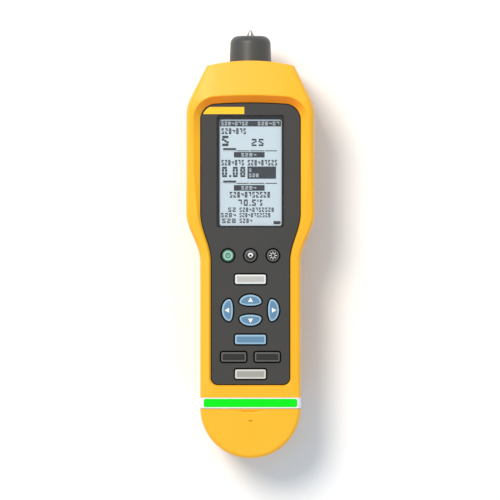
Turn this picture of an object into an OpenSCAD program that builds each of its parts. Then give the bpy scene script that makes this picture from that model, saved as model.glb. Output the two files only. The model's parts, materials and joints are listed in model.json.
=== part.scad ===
// Handheld vibration meter, lying on its back: +Z out of the display, +Y towards the sensor tip.
// The origin is below the middle of the meter, on the surface that it lies on.

/* [Case] */
// Length of the case from the status band to the top end
case_l = 188.6; // [184:0.2:192]
// Width of the head
head_w = 72.4; // [70:0.2:76]
// Width of the grip and of the round end cap
grip_w = 56.8; // [55:0.2:60]
// Thickness of the head, from the back to the rim round the display
case_h = 58; // [57.5:0.1:60]
// Depth of the fascia surface below the rim round the display
rim_h = 4.4; // [3.8:0.1:5]
// Height of the seam between the front case and the rear case
parting_z = 28; // [26:0.5:29]
// Thickness of the case walls
wall = 2.4; // [2:0.1:2.6]
// Thickness of the wall at the top end
end_wall = 4; // [3.6:0.1:5]
// Radius of the curved top end, seen from the front
end_r = 105.8; // [100:0.2:120]
// Distance from the top end down to the full width of the head
shoulder_l = 30.6; // [29:0.2:32]
// Radius where the shoulders meet the sides of the head
shoulder_r = 22; // [18:0.5:24]
// Angle of the shoulders to the length of the meter
shoulder_angle = 27; // [24:0.5:30]
// Distance from the top end down to the start of the neck
neck_from_top = 85.1; // [83:0.2:87]
// Length of the neck that narrows to the grip
neck_l = 27.5; // [25:0.5:30]
// Clearance of the hollow back of the grip above the surface
waist_z = 12; // [9:0.5:12.5]

/* [Ends] */
// Length of the status band
band_l = 6.1; // [5.6:0.1:7]
// Length of the rubber nose outside the case
boot_l = 14.4; // [13:0.2:17]
// Radius of the rubber nose at the case
boot_r = 11.7; // [11:0.1:12.4]
// Length of the steel tip outside the rubber nose
tip_l = 3.5; // [3:0.1:5]
// Radius of the steel tip
tip_r = 2.2; // [1.8:0.1:2.6]
// Height of the middle of the rubber nose
nose_z = 33; // [32.5:0.1:33.5]
// Travel of the tip when it is pressed on a machine
tip_travel = 1.2; // [0.8:0.1:1.4]

/* [Face] */
// Width of the fascia beside the display
fascia_head_w = 56.2; // [55.4:0.2:57]
// Width of the fascia in the grip
fascia_grip_w = 44.4; // [44:0.2:46]
// Distance from the top end down to the fascia
fascia_from_top = 23.4; // [22.4:0.2:25]
// Distance from the status band up to the fascia
fascia_from_band = 7; // [6:0.2:8]
// Thickness of the fascia
fascia_t = 2; // [1.8:0.1:2.2]
// Width of the display window
window_w = 37.8; // [36:0.2:39]
// Length of the display window
window_l = 62.7; // [60:0.1:63.5]
// Distance from the top of the fascia down to the window
window_from_top = 7.2; // [6.6:0.2:8]
// Gap between each key and the fascia
key_gap = 0.7; // [0.5:0.05:0.8]
// Height of the keys above the fascia
key_rise = 0.9; // [0.9:0.05:1.1]
// Travel of the keys
key_travel = 0.8; // [0.5:0.05:0.8]

/* [Keys] */
// Radius of the three round keys
round_r = 3.4; // [3:0.05:3.6]
// Distance of the outer round keys from the middle
round_pitch = 12.6; // [12:0.1:13]
// Width of the measure, enter and setup keys
wide_w = 17.3; // [16:0.1:18]
// Width of the save and memory keys
side_w = 14; // [13:0.1:14.6]
// Height of the rectangular keys
bar_h = 5.3; // [5:0.1:5.5]
// Distance of the save and memory keys from the middle
side_pitch = 9.4; // [9:0.1:9.6]
// Long size of the arrow keys
arrow_l = 12.3; // [11.5:0.1:12.8]
// Short size of the arrow keys
arrow_h = 6.2; // [5.8:0.1:6.4]
// Distance of the up and down keys from the middle of the arrow pad
pad_up = 5.6; // [5.4:0.1:5.8]
// Distance of the left and right keys from the middle of the arrow pad
pad_side = 12.9; // [12.6:0.1:13.2]

/* [Batteries] */
// Radius of one cell
cell_r = 7.1; // [7:0.05:7.25]
// Length of one cell
cell_l = 50.2; // [49:0.1:50.4]
// Length of the battery door
door_l = 74; // [73:0.5:75]
// Width of the battery door
door_w = 36; // [35.5:0.5:38]

/* [Hidden] */

// Gap between pieces that move past each other
gap = 0.3;
// Gap between pieces that are fitted and stay still
fit = 0.1;
// Overrun of every cut
over = 2;

// Places along the length of the meter
overall_l = grip_w / 2 + band_l + case_l + boot_l + tip_l;
y_end = -overall_l / 2;
y_band = y_end + grip_w / 2;
y_case = y_band + band_l;
y_top = y_case + case_l;
y_boot = y_top + boot_l;
y_tip = y_boot + tip_l;
y_shoulder = y_top - shoulder_l;
y_neck = y_top - neck_from_top;
y_grip = y_neck - neck_l;
y_fascia_top = y_top - fascia_from_top;
y_fascia_end = y_case + fascia_from_band;

// Share of a smooth change from 0 to 1
function smooth(t) = t <= 0 ? 0 : t >= 1 ? 1 : (1 - cos(180 * t)) / 2;
function clamp(t) = min(max(t, 0), 1);

face_z = case_h - rim_h;

// Outer form: the outline that the case has at its seam
end_extra = 6;
y_past_top = y_top + end_extra;
y_past_end = y_case - end_extra;
chamfer_x = head_w / 2 - shoulder_r * (1 - cos(shoulder_angle));
chamfer_y = y_shoulder + shoulder_r * sin(shoulder_angle);
neck_n = 10;
side_n = 6;
grip_n = 8;
top_n = 6;
chamfer_n = 5;
arc_n = 4;
foot_n = 3;
end_n = 4;
function neck_share(y) = smooth((y_neck - y) / neck_l);
function outer_w(y) = y > chamfer_y ? chamfer_x - (y - chamfer_y) * tan(shoulder_angle)
    : y > y_shoulder ? head_w / 2 - shoulder_r + sqrt(pow(shoulder_r, 2) - pow(y - y_shoulder, 2))
    : head_w / 2 - (head_w - grip_w) / 2 * neck_share(y);
foot_r = 4;
y_foot = y_fascia_end + foot_r;
outer_rows = concat(
    [for (i = [0 : chamfer_n - 1]) y_past_top + (chamfer_y - y_past_top) * i / chamfer_n],
    [for (i = [0 : arc_n - 1]) y_shoulder + shoulder_r * sin(shoulder_angle * (1 - i / arc_n))],
    [for (i = [0 : side_n - 1]) y_shoulder + (y_neck - y_shoulder) * i / side_n],
    [for (i = [0 : neck_n - 1]) y_neck - neck_l * i / neck_n],
    [for (i = [0 : grip_n - 1]) y_grip + (y_foot - y_grip) * i / grip_n],
    [for (i = [0 : foot_n]) y_foot + (y_past_end - y_foot) * i / foot_n]);
outer_half = concat(
    [for (i = [0 : top_n - 1]) [outer_w(y_past_top) * i / top_n, y_past_top]],
    [for (y = outer_rows) [outer_w(y), y]],
    [for (i = [1 : end_n]) [outer_w(y_past_end) * (1 - i / end_n), y_past_end]]);

// Fascia outline, with a point for each point of the outer outline
fascia_arch = 0.7;
fascia_r = 9;
corner_n = chamfer_n + arc_n;
corner_x = fascia_head_w / 2 - fascia_r;
corner_y = y_fascia_top - fascia_arch - fascia_r;
function fascia_w(y) = fascia_head_w / 2 - (fascia_head_w - fascia_grip_w) / 2 * neck_share(y);
fascia_half = concat(
    [for (i = [0 : top_n - 1]) [corner_x * i / top_n, y_fascia_top - fascia_arch * pow(i / top_n, 2)]],
    [for (i = [0 : corner_n - 1]) let (a = 90 * (1 - i / corner_n))
        [corner_x + fascia_r * cos(a), corner_y + fascia_r * sin(a)]],
    [for (i = [0 : side_n - 1]) let (y = corner_y + (y_neck - corner_y) * i / side_n) [fascia_w(y), y]],
    [for (i = [0 : neck_n - 1]) let (y = y_neck - neck_l * i / neck_n) [fascia_w(y), y]],
    [for (i = [0 : grip_n - 1]) let (y = y_grip + (y_foot - y_grip) * i / grip_n) [fascia_w(y), y]],
    [for (i = [0 : foot_n]) let (a = -90 * i / foot_n)
        [fascia_grip_w / 2 - foot_r + foot_r * cos(a), y_foot + foot_r * sin(a)]],
    [for (i = [1 : end_n]) [(fascia_grip_w / 2 - foot_r) * (1 - i / end_n), y_fascia_end]]);
function mirrored(half) = concat(half, [for (i = [len(half) - 2 : -1 : 1]) [-half[i][0], half[i][1]]]);
outer_loop = mirrored(outer_half);
fascia_loop = mirrored(fascia_half);
loop_n = len(outer_loop);

// Front surface: a rim that is high round the display and low along the grip
grip_rise = 0.6;
rim_crown = 0.9;
nose_drop = 4;
rise_from = 16;
rise_l = 50;
crest_head_w = 4.1;
crest_grip_w = 1.3;
edge_head_r = 3.2;
edge_grip_r = 2.2;
edge_head_h = 6;
edge_grip_h = 3.2;
side_draft = 0.4;
y_crest = y_fascia_top + crest_head_w;
function rim_share(y) = smooth((y - y_neck + rise_from) / rise_l);
function rim_z(x, y) = face_z + grip_rise + (case_h - face_z - grip_rise) * rim_share(y)
    - nose_drop * clamp((y - y_crest) / (y_past_top - y_crest))
    - rim_crown * rim_share(y) * pow(x / (head_w / 2), 2);
function mix(a, b, t) = a + (b - a) * t;

// Profile of the front edge: distance in from the outline, and height
edge_angles = [22.5, 45, 67.5, 90];
function edge_points(y, z) = let (
        s = rim_share(y), r = mix(edge_grip_r, edge_head_r, s), h = mix(edge_grip_h, edge_head_h, s))
    concat([[0, parting_z], [side_draft / 4, mix(parting_z, z - h, 1 / 2)], [side_draft, z - h]],
        [for (a = edge_angles) [side_draft + r * (1 - cos(a)), z - h * (1 - sin(a))]]);

// Back surface: flat at the head and at the heel, hollow behind the grip
back_n = 12;
back_p_share = 2.6;
back_q_share = 2.2;
back_sink = 1;
hump_from_neck = 26;
waist_in_l = 36;
waist_l = 46;
waist_out_l = 30;
lift_from_top = 16;
lift_z = 9;
y_waist_in = y_neck + hump_from_neck;
y_waist_out = y_waist_in - waist_in_l - waist_l;
function waist_share(y) = smooth((y_waist_in - y) / waist_in_l)
    * (1 - smooth((y_waist_out - y) / waist_out_l));
function back_depth(y) = parting_z + back_sink - (back_sink + waist_z) * waist_share(y)
    - lift_z * pow(clamp((y - y_top + lift_from_top) / (end_extra + lift_from_top)), 2);
function back_share(u) = pow(1 - pow(abs(u), back_p_share), 1 / back_q_share);
function back_u(k) = -cos(180 * k / (2 * back_n));

// Solid under the seam, in sections across the meter, drawn in from the back by t
function back_section(y, t, top) = let (
        w = outer_w(y) - t, d = (t > 0 ? min(back_depth(y), parting_z) : back_depth(y)) - t)
    concat(top > parting_z ? [[-w, y, top]] : [],
        [for (k = [0 : 2 * back_n]) [w * back_u(k), y, parting_z - d * back_share(back_u(k))]],
        top > parting_z ? [[w, y, top]] : []);
module back_block(rows, t, top) {
    sections = [for (y = rows) back_section(y, t, top)];
    n = len(sections[0]);
    m = len(sections);
    polyhedron(points = [for (s = sections) each s], faces = concat(
        [for (j = [0 : m - 2], k = [0 : n - 2], half = [0, 1]) half == 0
            ? [j * n + k, (j + 1) * n + k, (j + 1) * n + k + 1]
            : [j * n + k, (j + 1) * n + k + 1, j * n + k + 1]],
        [for (j = [0 : m - 2]) [j * n, j * n + n - 1, (j + 1) * n + n - 1, (j + 1) * n]],
        [[for (k = [0 : n - 1]) k]],
        [[for (k = [n - 1 : -1 : 0]) (m - 1) * n + k]]));
}
inner_rows = concat([y_top - end_wall], [for (y = outer_rows) if (y < y_top - end_wall - over) y]);
module outer_back(rows = outer_rows) back_block(rows, 0, parting_z);
module inner_back(t, rows = inner_rows) back_block(rows, t, parting_z + over);

// Ring of sections swept round the fascia, each drawn along the ray from the outline to the fascia
ledge_w = 1.6;
ledge_t = 2.2;
seat_z = face_z - fascia_t;
cavity_z = seat_z - ledge_t;
function ray_section(p, f) = let (
        l = norm(f - p), e = (f - p) / l,
        crest = l - mix(crest_grip_w, crest_head_w, rim_share(f[1])),
        past = p[1] - (y_top - end_wall),
        inner = past > 0 ? max(wall, min(past / max(-e[1], 1 / 4), crest)) : wall,
        edge = [for (q = edge_points(p[1], rim_z(p[0], p[1]))) q],
        c = p + e * crest)
    [for (q = concat(edge, [[crest, rim_z(c[0], c[1])], [l - fit, face_z], [l - fit, seat_z],
            [l + ledge_w, seat_z], [l + ledge_w, cavity_z], [inner, cavity_z], [inner, parting_z]]))
        [p[0] + e[0] * q[0], p[1] + e[1] * q[0], q[1]]];
module front_ring() {
    sections = [for (i = [0 : loop_n - 1]) ray_section(outer_loop[i], fascia_loop[i])];
    n = len(sections[0]);
    polyhedron(points = [for (s = sections) each s], faces = [
        for (i = [0 : loop_n - 1], k = [0 : n - 1], half = [0, 1])
            let (a = i * n, b = (i + 1) % loop_n * n, c = (k + 1) % n)
            half == 0 ? [a + k, b + k, b + c] : [a + k, b + c, a + c]]);
}

// Space of the case between the curved top end and the status band
module case_bounds(low, high) {
    intersection() {
        translate([0, y_top - end_r, low]) cylinder(h = high - low, r = end_r, $fn = 180);
        translate([-head_w, y_case, low]) cube([2 * head_w, overall_l, high - low]);
    }
}

// Cross-section of the grip, with the same points as the case has there
band_z = rim_z(0, y_case);
function band_edge(t) = [for (q = edge_points(y_case, band_z))
    [grip_w / 2 - q[0] - t, q[1] - (q[1] > parting_z ? t : 0)]];
function heel_point(t, u) = [(grip_w / 2 - t) * u,
    max(parting_z - (parting_z + back_sink) * back_share(u), 0) + t * back_share(u)];
function band_profile(t) = let (edge = band_edge(t))
    concat(edge, [for (k = [len(edge) - 1 : -1 : 0]) [-edge[k][0], edge[k][1]]],
        [for (k = [1 : 2 * back_n - 1]) heel_point(t, back_u(k))]);
module along_y(from, to) {
    translate([0, to, 0]) rotate([90, 0, 0]) linear_extrude(to - from) children();
}
module rod_y(x, z, from, to, r1, r2) {
    translate([x, from, z]) rotate([-90, 0, 0]) cylinder(h = to - from, r1 = r1, r2 = r2, $fn = 64);
}

// Case screws: they enter from the back and end in brass inserts in the front case
screw_head_side = 26;
screw_head_up = 8;
screw_foot_side = 18.5;
screw_foot_up = 5.5;
screw_r = 1.5;
screw_head_r = 2.8;
screw_head_h = 2;
boss_r = 3.7;
well_boss_r = 4.4;
insert_r = 2.1;
insert_l = 6;
screw_seat_z = 16;
well_r = screw_head_r + gap;
screw_places = [for (s = [-1, 1], head = [false, true]) head
    ? [s * screw_head_side, y_shoulder - screw_head_up]
    : [s * screw_foot_side, y_case + screw_foot_up]];
module at_screws() for (p = screw_places) translate([p[0], p[1], 0]) children();

// Nose and sensor
spigot_r = 9.6;
guide_r = 9.4;
guide_bore_r = 7.1;
guide_l = 30;
guide_back = 2;
body_r = 7.02;
body_l = 20;
body_front_gap = 1.5;
y_guide = y_top - end_wall - gap - guide_l;
y_body = y_top - end_wall - gap - body_front_gap - body_l;
nose_floor = 1.6;

// Infrared thermometer and torch, in the top end below the nose
eye_side = 9.5;
eye_z = 14;
ir_r = 3.6;
torch_r = 3.2;

// Battery bay
cell_gap = 0.5;
bay_wall = 1.6;
seat_t = 1.6;
bay_clear = 0.4;
bay_w = 4 * cell_r + cell_gap + 2 * bay_clear;
spring_l = 4.5;
contact_t = 0.4;
bay_l = cell_l + spring_l + 2 * contact_t + 2 * bay_clear;
bay_from_neck = 17.5;
y_bay_top = y_neck - bay_from_neck;
y_bay_end = y_bay_top - bay_l;
y_cell = y_bay_end + contact_t + bay_clear + spring_l;
cell_z = waist_z + wall + gap + cell_r + bay_clear;
bay_top_z = cell_z + cell_r + bay_clear;
y_door = (y_bay_top + y_bay_end) / 2 - door_l / 2;
door_r = 4;
latch_r = 1.4;
latch_head_r = 2.6;
latch_head_h = 1.6;
latch_boss_r = 3.6;
latch_boss_h = 5.2;
latch_l = 12;
latch_from_bay = latch_boss_r + bay_wall / 3;
function latch_y(upper) = upper ? y_bay_top + latch_from_bay : y_bay_end - latch_from_bay;
function back_z(y) = max(parting_z - back_depth(y), 0);
function latch_floor(upper) = let (y = latch_y(upper))
    max(back_z(y - latch_head_r), back_z(y + latch_head_r));

function rounded_points(w, l, r, step) = [
    for (c = [[1, 1, 0], [-1, 1, 90], [-1, -1, 180], [1, -1, 270]], a = [0 : step : 90])
        [c[0] * (w / 2 - r) + r * cos(a + c[2]), c[1] * (l / 2 - r) + r * sin(a + c[2])]];
module rounded_plate(w, l, h, r) linear_extrude(h) polygon(rounded_points(w, l, r, 15));
door_reach = 2 * (wall + seat_t + neck_l / neck_n);
door_rows = [for (y = outer_rows) if (y > y_door - door_reach && y < y_door + door_l + door_reach) y];
module door_prism(grow) {
    translate([0, y_door + door_l / 2, -over])
        rounded_plate(door_w + 2 * grow, door_l + 2 * grow, parting_z, door_r + grow);
}

module front_case() color([1, 0.75, 0.2]) {
    boss_h = cavity_z + ledge_t / 2 - parting_z;
    difference() {
        union() {
            intersection() {
                front_ring();
                case_bounds(parting_z - over, case_h + over);
            }
            at_screws() translate([0, 0, parting_z]) cylinder(h = boss_h, r = boss_r, $fn = 48);
        }
        at_screws() translate([0, 0, parting_z - over])
            cylinder(h = insert_l + over, r = insert_r, $fn = 48);
        at_screws() translate([0, 0, parting_z + insert_l - over / 2])
            cylinder(h = insert_l, r = screw_r + gap, $fn = 48);
        rod_y(0, nose_z, y_top - end_wall - over, y_top + over, spigot_r + fit, spigot_r + fit);
        rod_y(0, nose_z, y_top - nose_floor, y_top + over, boot_r + fit, boot_r + fit);
    }
}

gasket_t = 0.8;
gasket_w = 1;
module seam_band(inset, width, low, high) {
    rows = concat([for (y = inner_rows) if (y > y_case) y], [y_case]);
    function line(t) = concat([for (y = rows) [outer_w(y) - t, y]],
        [for (i = [len(rows) - 1 : -1 : 0]) [t - outer_w(rows[i]), rows[i]]]);
    translate([0, 0, low]) linear_extrude(high - low) difference() {
        polygon(line(inset));
        polygon(line(inset + width));
    }
}

module rear_case() color([0.98, 0.72, 0.18]) {
    ceiling_z = bay_top_z + bay_wall;
    difference() {
        union() {
            difference() {
                intersection() {
                    outer_back();
                    case_bounds(0, parting_z + over);
                }
                difference() {
                    inner_back(wall);
                    bay_body(0, ceiling_z);
                    at_screws() cylinder(h = case_h, r = well_boss_r, $fn = 48);
                    for (upper = [false, true]) translate([0, latch_y(upper), 0])
                        cylinder(h = parting_z, r = latch_boss_r, $fn = 48);
                    guide_cradle();
                    difference() {
                        door_prism(gap + 2 * wall);
                        inner_back(wall + gap + seat_t, door_rows);
                    }
                }
            }
            translate([0, 0, parting_z - wall]) bay_body(0, ceiling_z - parting_z + wall);
        }
        translate([-bay_w / 2, y_bay_end, 0]) cube([bay_w, bay_l, bay_top_z]);
        difference() {
            door_prism(gap);
            inner_back(wall + gap, door_rows);
        }
        for (upper = [false, true]) translate([0, latch_y(upper), -over]) {
            cylinder(h = latch_floor(upper) + latch_boss_h + gap + over, r = latch_boss_r + gap, $fn = 48);
            cylinder(h = latch_floor(upper) + latch_l + gap + over, r = latch_r + gap, $fn = 48);
        }
        at_screws() {
            translate([0, 0, -over]) cylinder(h = screw_seat_z + over, r = well_r, $fn = 48);
            cylinder(h = parting_z + over, r = screw_r + gap, $fn = 48);
        }
        rod_y(0, nose_z, y_top - end_wall - over, y_top + over, spigot_r + fit, spigot_r + fit);
        rod_y(0, nose_z, y_top - nose_floor, y_top + over, boot_r + fit, boot_r + fit);
        for (s = [-1, 1]) {
            r = (s < 0 ? ir_r : torch_r) + fit;
            rod_y(s * eye_side, eye_z, y_top - end_wall - over, y_top + over, r, r);
        }
    }
}
module bay_body(low, h) {
    translate([-bay_w / 2 - bay_wall, y_bay_end - bay_wall, low])
        cube([bay_w + 2 * bay_wall, bay_l + 2 * bay_wall, h]);
}
cradle_t = 3;
cradle_wall = 2;
module guide_cradle() {
    for (y = [y_guide + cradle_t, y_top - end_wall - 3 * cradle_t]) difference() {
        translate([-guide_r - cradle_wall, y, 0]) cube([2 * (guide_r + cradle_wall), cradle_t, parting_z]);
        rod_y(0, nose_z, y - over, y + cradle_t + over, guide_r + fit, guide_r + fit);
    }
}

module case_gasket() color([0.15, 0.15, 0.15]) {
    seam_band(wall + fit, gasket_w, parting_z - gasket_t / 2, parting_z + gasket_t / 2);
}

// Stack behind the fascia, from the front to the board
foam_t = 0.3;
lcd_w = 43;
lcd_t = 2;
backlight_t = 3.1;
lcd_rim = 2.6;
board_t = 1.6;
lcd_z = seat_z - foam_t - lcd_t;
board_z = lcd_z - backlight_t;
window_t = 1;
window_sink = 0.4;
window_edge_w = 0.9;
window_edge_top = 2.2;
window_edge_end = 0.9;
window_r = 1.2;
y_window = y_fascia_top - window_from_top - window_l / 2;
lcd_l = window_l + 2 * lcd_rim;
board_head_w = 43.4;
board_grip_w = 42;
board_from_foot = 3.2;
board_top = y_window + lcd_l / 2 + lcd_rim;

module window_plate(grow, h) {
    translate([0, y_window, 0])
        rounded_plate(window_w + 2 * grow, window_l + 2 * grow, h, window_r + grow);
}
module display_opening(h) {
    translate([0, y_window + (window_edge_end - window_edge_top) / 2, 0])
        rounded_plate(window_w - 2 * window_edge_w, window_l - window_edge_top - window_edge_end,
            h, window_r);
}

// Places of the keys, from the middle line and up from the lower end of the fascia
setup_up = 6.1;
save_up = 15.7;
enter_up = 25.5;
pad_mid_up = 41.9;
measure_up = 59.2;
round_up = 72.5;
key_bevel = 0.5;
key_taper_share = 0.9;
bar_r = 0.9;
flange_w = 0.8;
flange_t = 1;
stem_r = 1.6;
stem_h = 0.4;
// Key name: shape, place across, place up the fascia
KEYS = [["key_power", "round", -round_pitch, round_up], ["key_torch", "round", 0, round_up],
    ["key_backlight", "round", round_pitch, round_up], ["key_measure", "wide", 0, measure_up],
    ["key_up", "up", 0, pad_mid_up + pad_up], ["key_down", "down", 0, pad_mid_up - pad_up],
    ["key_left", "left", -pad_side, pad_mid_up], ["key_right", "right", pad_side, pad_mid_up],
    ["key_enter", "wide", 0, enter_up], ["key_save", "side", -side_pitch, save_up],
    ["key_memory", "side", side_pitch, save_up], ["key_setup", "wide", 0, setup_up]];
arrow_full_share = 0.68;
function arrow_points(grow) = [for (a = [0 : 12 : 348])
    [(arrow_l / 2 + grow) * cos(a),
        (a < 180 ? arrow_h * arrow_full_share + grow : arrow_h * (1 - arrow_full_share) + grow) * sin(a)
            - arrow_h * (arrow_full_share - 1 / 2)]];
arrow_turns = [["up", 0], ["left", 90], ["down", 180], ["right", 270]];
module key_outline(shape, grow) {
    if (shape == "round") circle(r = round_r + grow, $fn = 64);
    else if (shape == "wide" || shape == "side") {
        w = (shape == "wide" ? wide_w : side_w) + 2 * grow;
        polygon(rounded_points(w, bar_h + 2 * grow, bar_r + grow, 22.5));
    }
    else for (t = arrow_turns) if (t[0] == shape) rotate(t[1]) polygon(arrow_points(grow));
}
module at_key(k) translate([k[2], y_fascia_end + k[3], 0]) children();
module key_solid(name) {
    for (k = KEYS) if (k[0] == name) at_key(k) {
        low = seat_z - gap - flange_t;
        top = face_z + key_rise - key_bevel;
        translate([0, 0, low]) linear_extrude(flange_t) key_outline(k[1], key_gap + flange_w);
        translate([0, 0, low + flange_t]) linear_extrude(top - low - flange_t) key_outline(k[1], 0);
        if (k[1] == "round") translate([0, 0, top])
            cylinder(h = key_bevel, r1 = round_r, r2 = round_r * key_taper_share, $fn = 64);
        else translate([0, 0, top])
            linear_extrude(key_bevel, scale = key_taper_share) key_outline(k[1], 0);
        translate([0, 0, low - stem_h]) cylinder(h = stem_h, r = stem_r, $fn = 32);
    }
}

module fascia() color([0.3, 0.3, 0.29]) {
    difference() {
        translate([0, 0, seat_z]) linear_extrude(fascia_t) polygon(fascia_loop);
        translate([0, 0, face_z - window_sink - window_t]) window_plate(fit, fascia_t);
        translate([0, 0, seat_z - over]) display_opening(fascia_t + over);
        for (k = KEYS) at_key(k) translate([0, 0, seat_z - over])
            linear_extrude(fascia_t + 2 * over) key_outline(k[1], key_gap);
    }
}
module display_window() color([0.1, 0.1, 0.11]) {
    translate([0, 0, face_z - window_sink - window_t]) window_plate(0, window_t);
}
module display_gasket() color([0.2, 0.2, 0.2]) {
    translate([0, y_window, lcd_z + lcd_t]) difference() {
        rounded_plate(lcd_w, lcd_l, foam_t, window_r);
        translate([0, 0, -over]) rounded_plate(window_w, window_l, foam_t + 2 * over, window_r);
    }
}
module lcd_panel() color([0.84, 0.9, 0.93]) {
    translate([-lcd_w / 2, y_window - lcd_l / 2, lcd_z]) cube([lcd_w, lcd_l, lcd_t]);
}
module lcd_backlight() color([0.93, 0.93, 0.9]) {
    translate([-lcd_w / 2, y_window - lcd_l / 2, board_z]) cube([lcd_w, lcd_l, backlight_t]);
}
flex_w = 22;
flex_t = 0.25;
flex_out = 2;
module lcd_flex() color([0.8, 0.5, 0.15]) {
    y = y_window - lcd_l / 2;
    z = lcd_z + lcd_t / 2;
    translate([-flex_w / 2, y - flex_out, z]) cube([flex_w, flex_out, flex_t]);
    translate([-flex_w / 2, y - flex_out, board_z]) cube([flex_w, flex_t, z + flex_t - board_z]);
}
y_board_end = y_fascia_end + board_from_foot;
y_board_step = y_grip;
module main_board() color([0.1, 0.4, 0.2]) {
    translate([0, 0, board_z - board_t]) linear_extrude(board_t)
        polygon([[-board_head_w / 2, board_top], [-board_head_w / 2, y_board_step + board_t],
            [-board_grip_w / 2, y_board_step - board_t], [-board_grip_w / 2, y_board_end],
            [board_grip_w / 2, y_board_end], [board_grip_w / 2, y_board_step - board_t],
            [board_head_w / 2, y_board_step + board_t], [board_head_w / 2, board_top]]);
}
chip_t = 1.3;
chip_side = 13;
// Chips on the back of the board: place across, place from the neck, and share of the largest one
chip_shares = [[-0.5, 2.4, 1], [0.7, 2.2, 0.7], [-0.8, 0.6, 0.6],
    [0.6, 0.5, 0.8], [0, -1.6, 0.6], [-0.7, -3.4, 0.5]];
module board_chips() color([0.12, 0.12, 0.13]) {
    for (c = chip_shares) {
        w = chip_side * c[2];
        translate([chip_side * c[0] - w / 2, y_neck + chip_side * c[1] - w / 2, board_z - board_t - chip_t])
            cube([w, w, chip_t]);
    }
}
radio_w = 14;
radio_l = 18;
radio_t = 2;
module radio_module() color([0.75, 0.76, 0.78]) {
    translate([board_grip_w / 2 - radio_w - radio_t, y_board_end + radio_t, board_z - board_t - radio_t])
        cube([radio_w, radio_l, radio_t]);
}

dome_t = 0.25;
dome_r = 2.2;
dome_h = 0.35;
mat_t = 1.3;
mat_margin = 0.8;
mat_bump_r = 3;
mat_skin = 0.4;
mat_w = board_grip_w - 2 * mat_margin;
mat_top = y_fascia_end + round_up + round_r + mat_bump_r;
bump_z = seat_z - gap - flange_t - stem_h - key_travel - gap;
module dome_sheet() color([0.78, 0.78, 0.76]) {
    translate([-mat_w / 2, y_board_end, board_z]) cube([mat_w, mat_top - y_board_end, dome_t]);
    for (k = KEYS) at_key(k) translate([0, 0, board_z]) cylinder(h = dome_t + dome_h, r = dome_r, $fn = 32);
}
module keypad_mat() color([0.16, 0.16, 0.17]) {
    z = board_z + dome_t;
    difference() {
        union() {
            translate([-mat_w / 2, y_board_end, z]) cube([mat_w, mat_top - y_board_end, mat_t]);
            for (k = KEYS) at_key(k) translate([0, 0, z])
                cylinder(h = bump_z - z, r = mat_bump_r, $fn = 48);
        }
        for (k = KEYS) at_key(k) translate([0, 0, z - over])
            cylinder(h = bump_z - z - mat_skin + over, r = dome_r + mat_skin, $fn = 32);
    }
}

module key_power() color([0.35, 0.62, 0.5]) key_solid("key_power");
module key_torch() color([0.28, 0.28, 0.28]) key_solid("key_torch");
module key_backlight() color([0.28, 0.28, 0.28]) key_solid("key_backlight");
module key_measure() color([0.92, 0.92, 0.88]) key_solid("key_measure");
module key_up() color([0.47, 0.65, 0.8]) key_solid("key_up");
module key_down() color([0.47, 0.65, 0.8]) key_solid("key_down");
module key_left() color([0.47, 0.65, 0.8]) key_solid("key_left");
module key_right() color([0.47, 0.65, 0.8]) key_solid("key_right");
module key_enter() color([0.47, 0.65, 0.8]) key_solid("key_enter");
module key_save() color([0.29, 0.29, 0.3]) key_solid("key_save");
module key_memory() color([0.29, 0.29, 0.3]) key_solid("key_memory");
module key_setup() color([0.78, 0.77, 0.72]) key_solid("key_setup");

// Status band, its green lens and the hinge of the end cap
lens_from_side = 2.3;
lens_w = grip_w - 2 * lens_from_side;
lens_l = 4.5;
lens_r = 0.9;
lens_under = 0.6;
led_h = 0.8;
led_w = 3;
led_n = 3;
strip_t = 1.2;
strip_side = 1.2;
hinge_r = 1.9;
hinge_z = 2.4;
y_hinge = y_band - hinge_r;
pin_r = 0.8;
pin_fit = 0.05;
knuckle_half = 5.7;
knuckle_out = 12;
knuckle_clear = 3.2;
module across_x(y, z, from, to, r) {
    translate([from, y, z]) rotate([0, 90, 0]) cylinder(h = to - from, r = r, $fn = 48);
}
module lens_plate(grow, low, high) {
    translate([0, (y_band + y_case) / 2, low])
        rounded_plate(lens_w + 2 * grow, lens_l + 2 * grow, high - low, lens_r + grow);
}
module status_band() color([0.93, 0.94, 0.93]) {
    difference() {
        union() {
            along_y(y_band, y_case) difference() {
                polygon(band_profile(0));
                polygon(band_profile(wall));
            }
            for (s = [-1, 1]) {
                x = s < 0 ? -knuckle_out : knuckle_half + gap;
                l = knuckle_out - knuckle_half - gap;
                across_x(y_hinge, hinge_z, x, x + l, hinge_r);
                translate([x, y_hinge, hinge_z - hinge_r]) {
                    cube([l, y_band - y_hinge, 2 * hinge_r]);
                    cube([l, y_band - y_hinge + wall / 2, wall - hinge_z + hinge_r]);
                }
            }
        }
        lens_plate(fit, parting_z, case_h);
        across_x(y_hinge, hinge_z, -head_w, head_w, pin_r + pin_fit);
    }
}
module status_lens() color([0.05, 0.95, 0.15]) lens_plate(0, band_z - wall - lens_under, band_z + fit);
strip_z = band_z - wall - lens_under - led_h - strip_t;
module status_board() color([0.1, 0.4, 0.2]) {
    translate([strip_side - lens_w / 2, y_band + (band_l - lens_l) / 2, strip_z])
        cube([lens_w - 2 * strip_side, lens_l, strip_t]);
    for (i = [1 : led_n])
        translate([lens_w * (i / (led_n + 1) - 1 / 2) - led_w / 2, (y_band + y_case - led_w) / 2, strip_z])
            cube([led_w, led_w, strip_t + led_h]);
}

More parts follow.
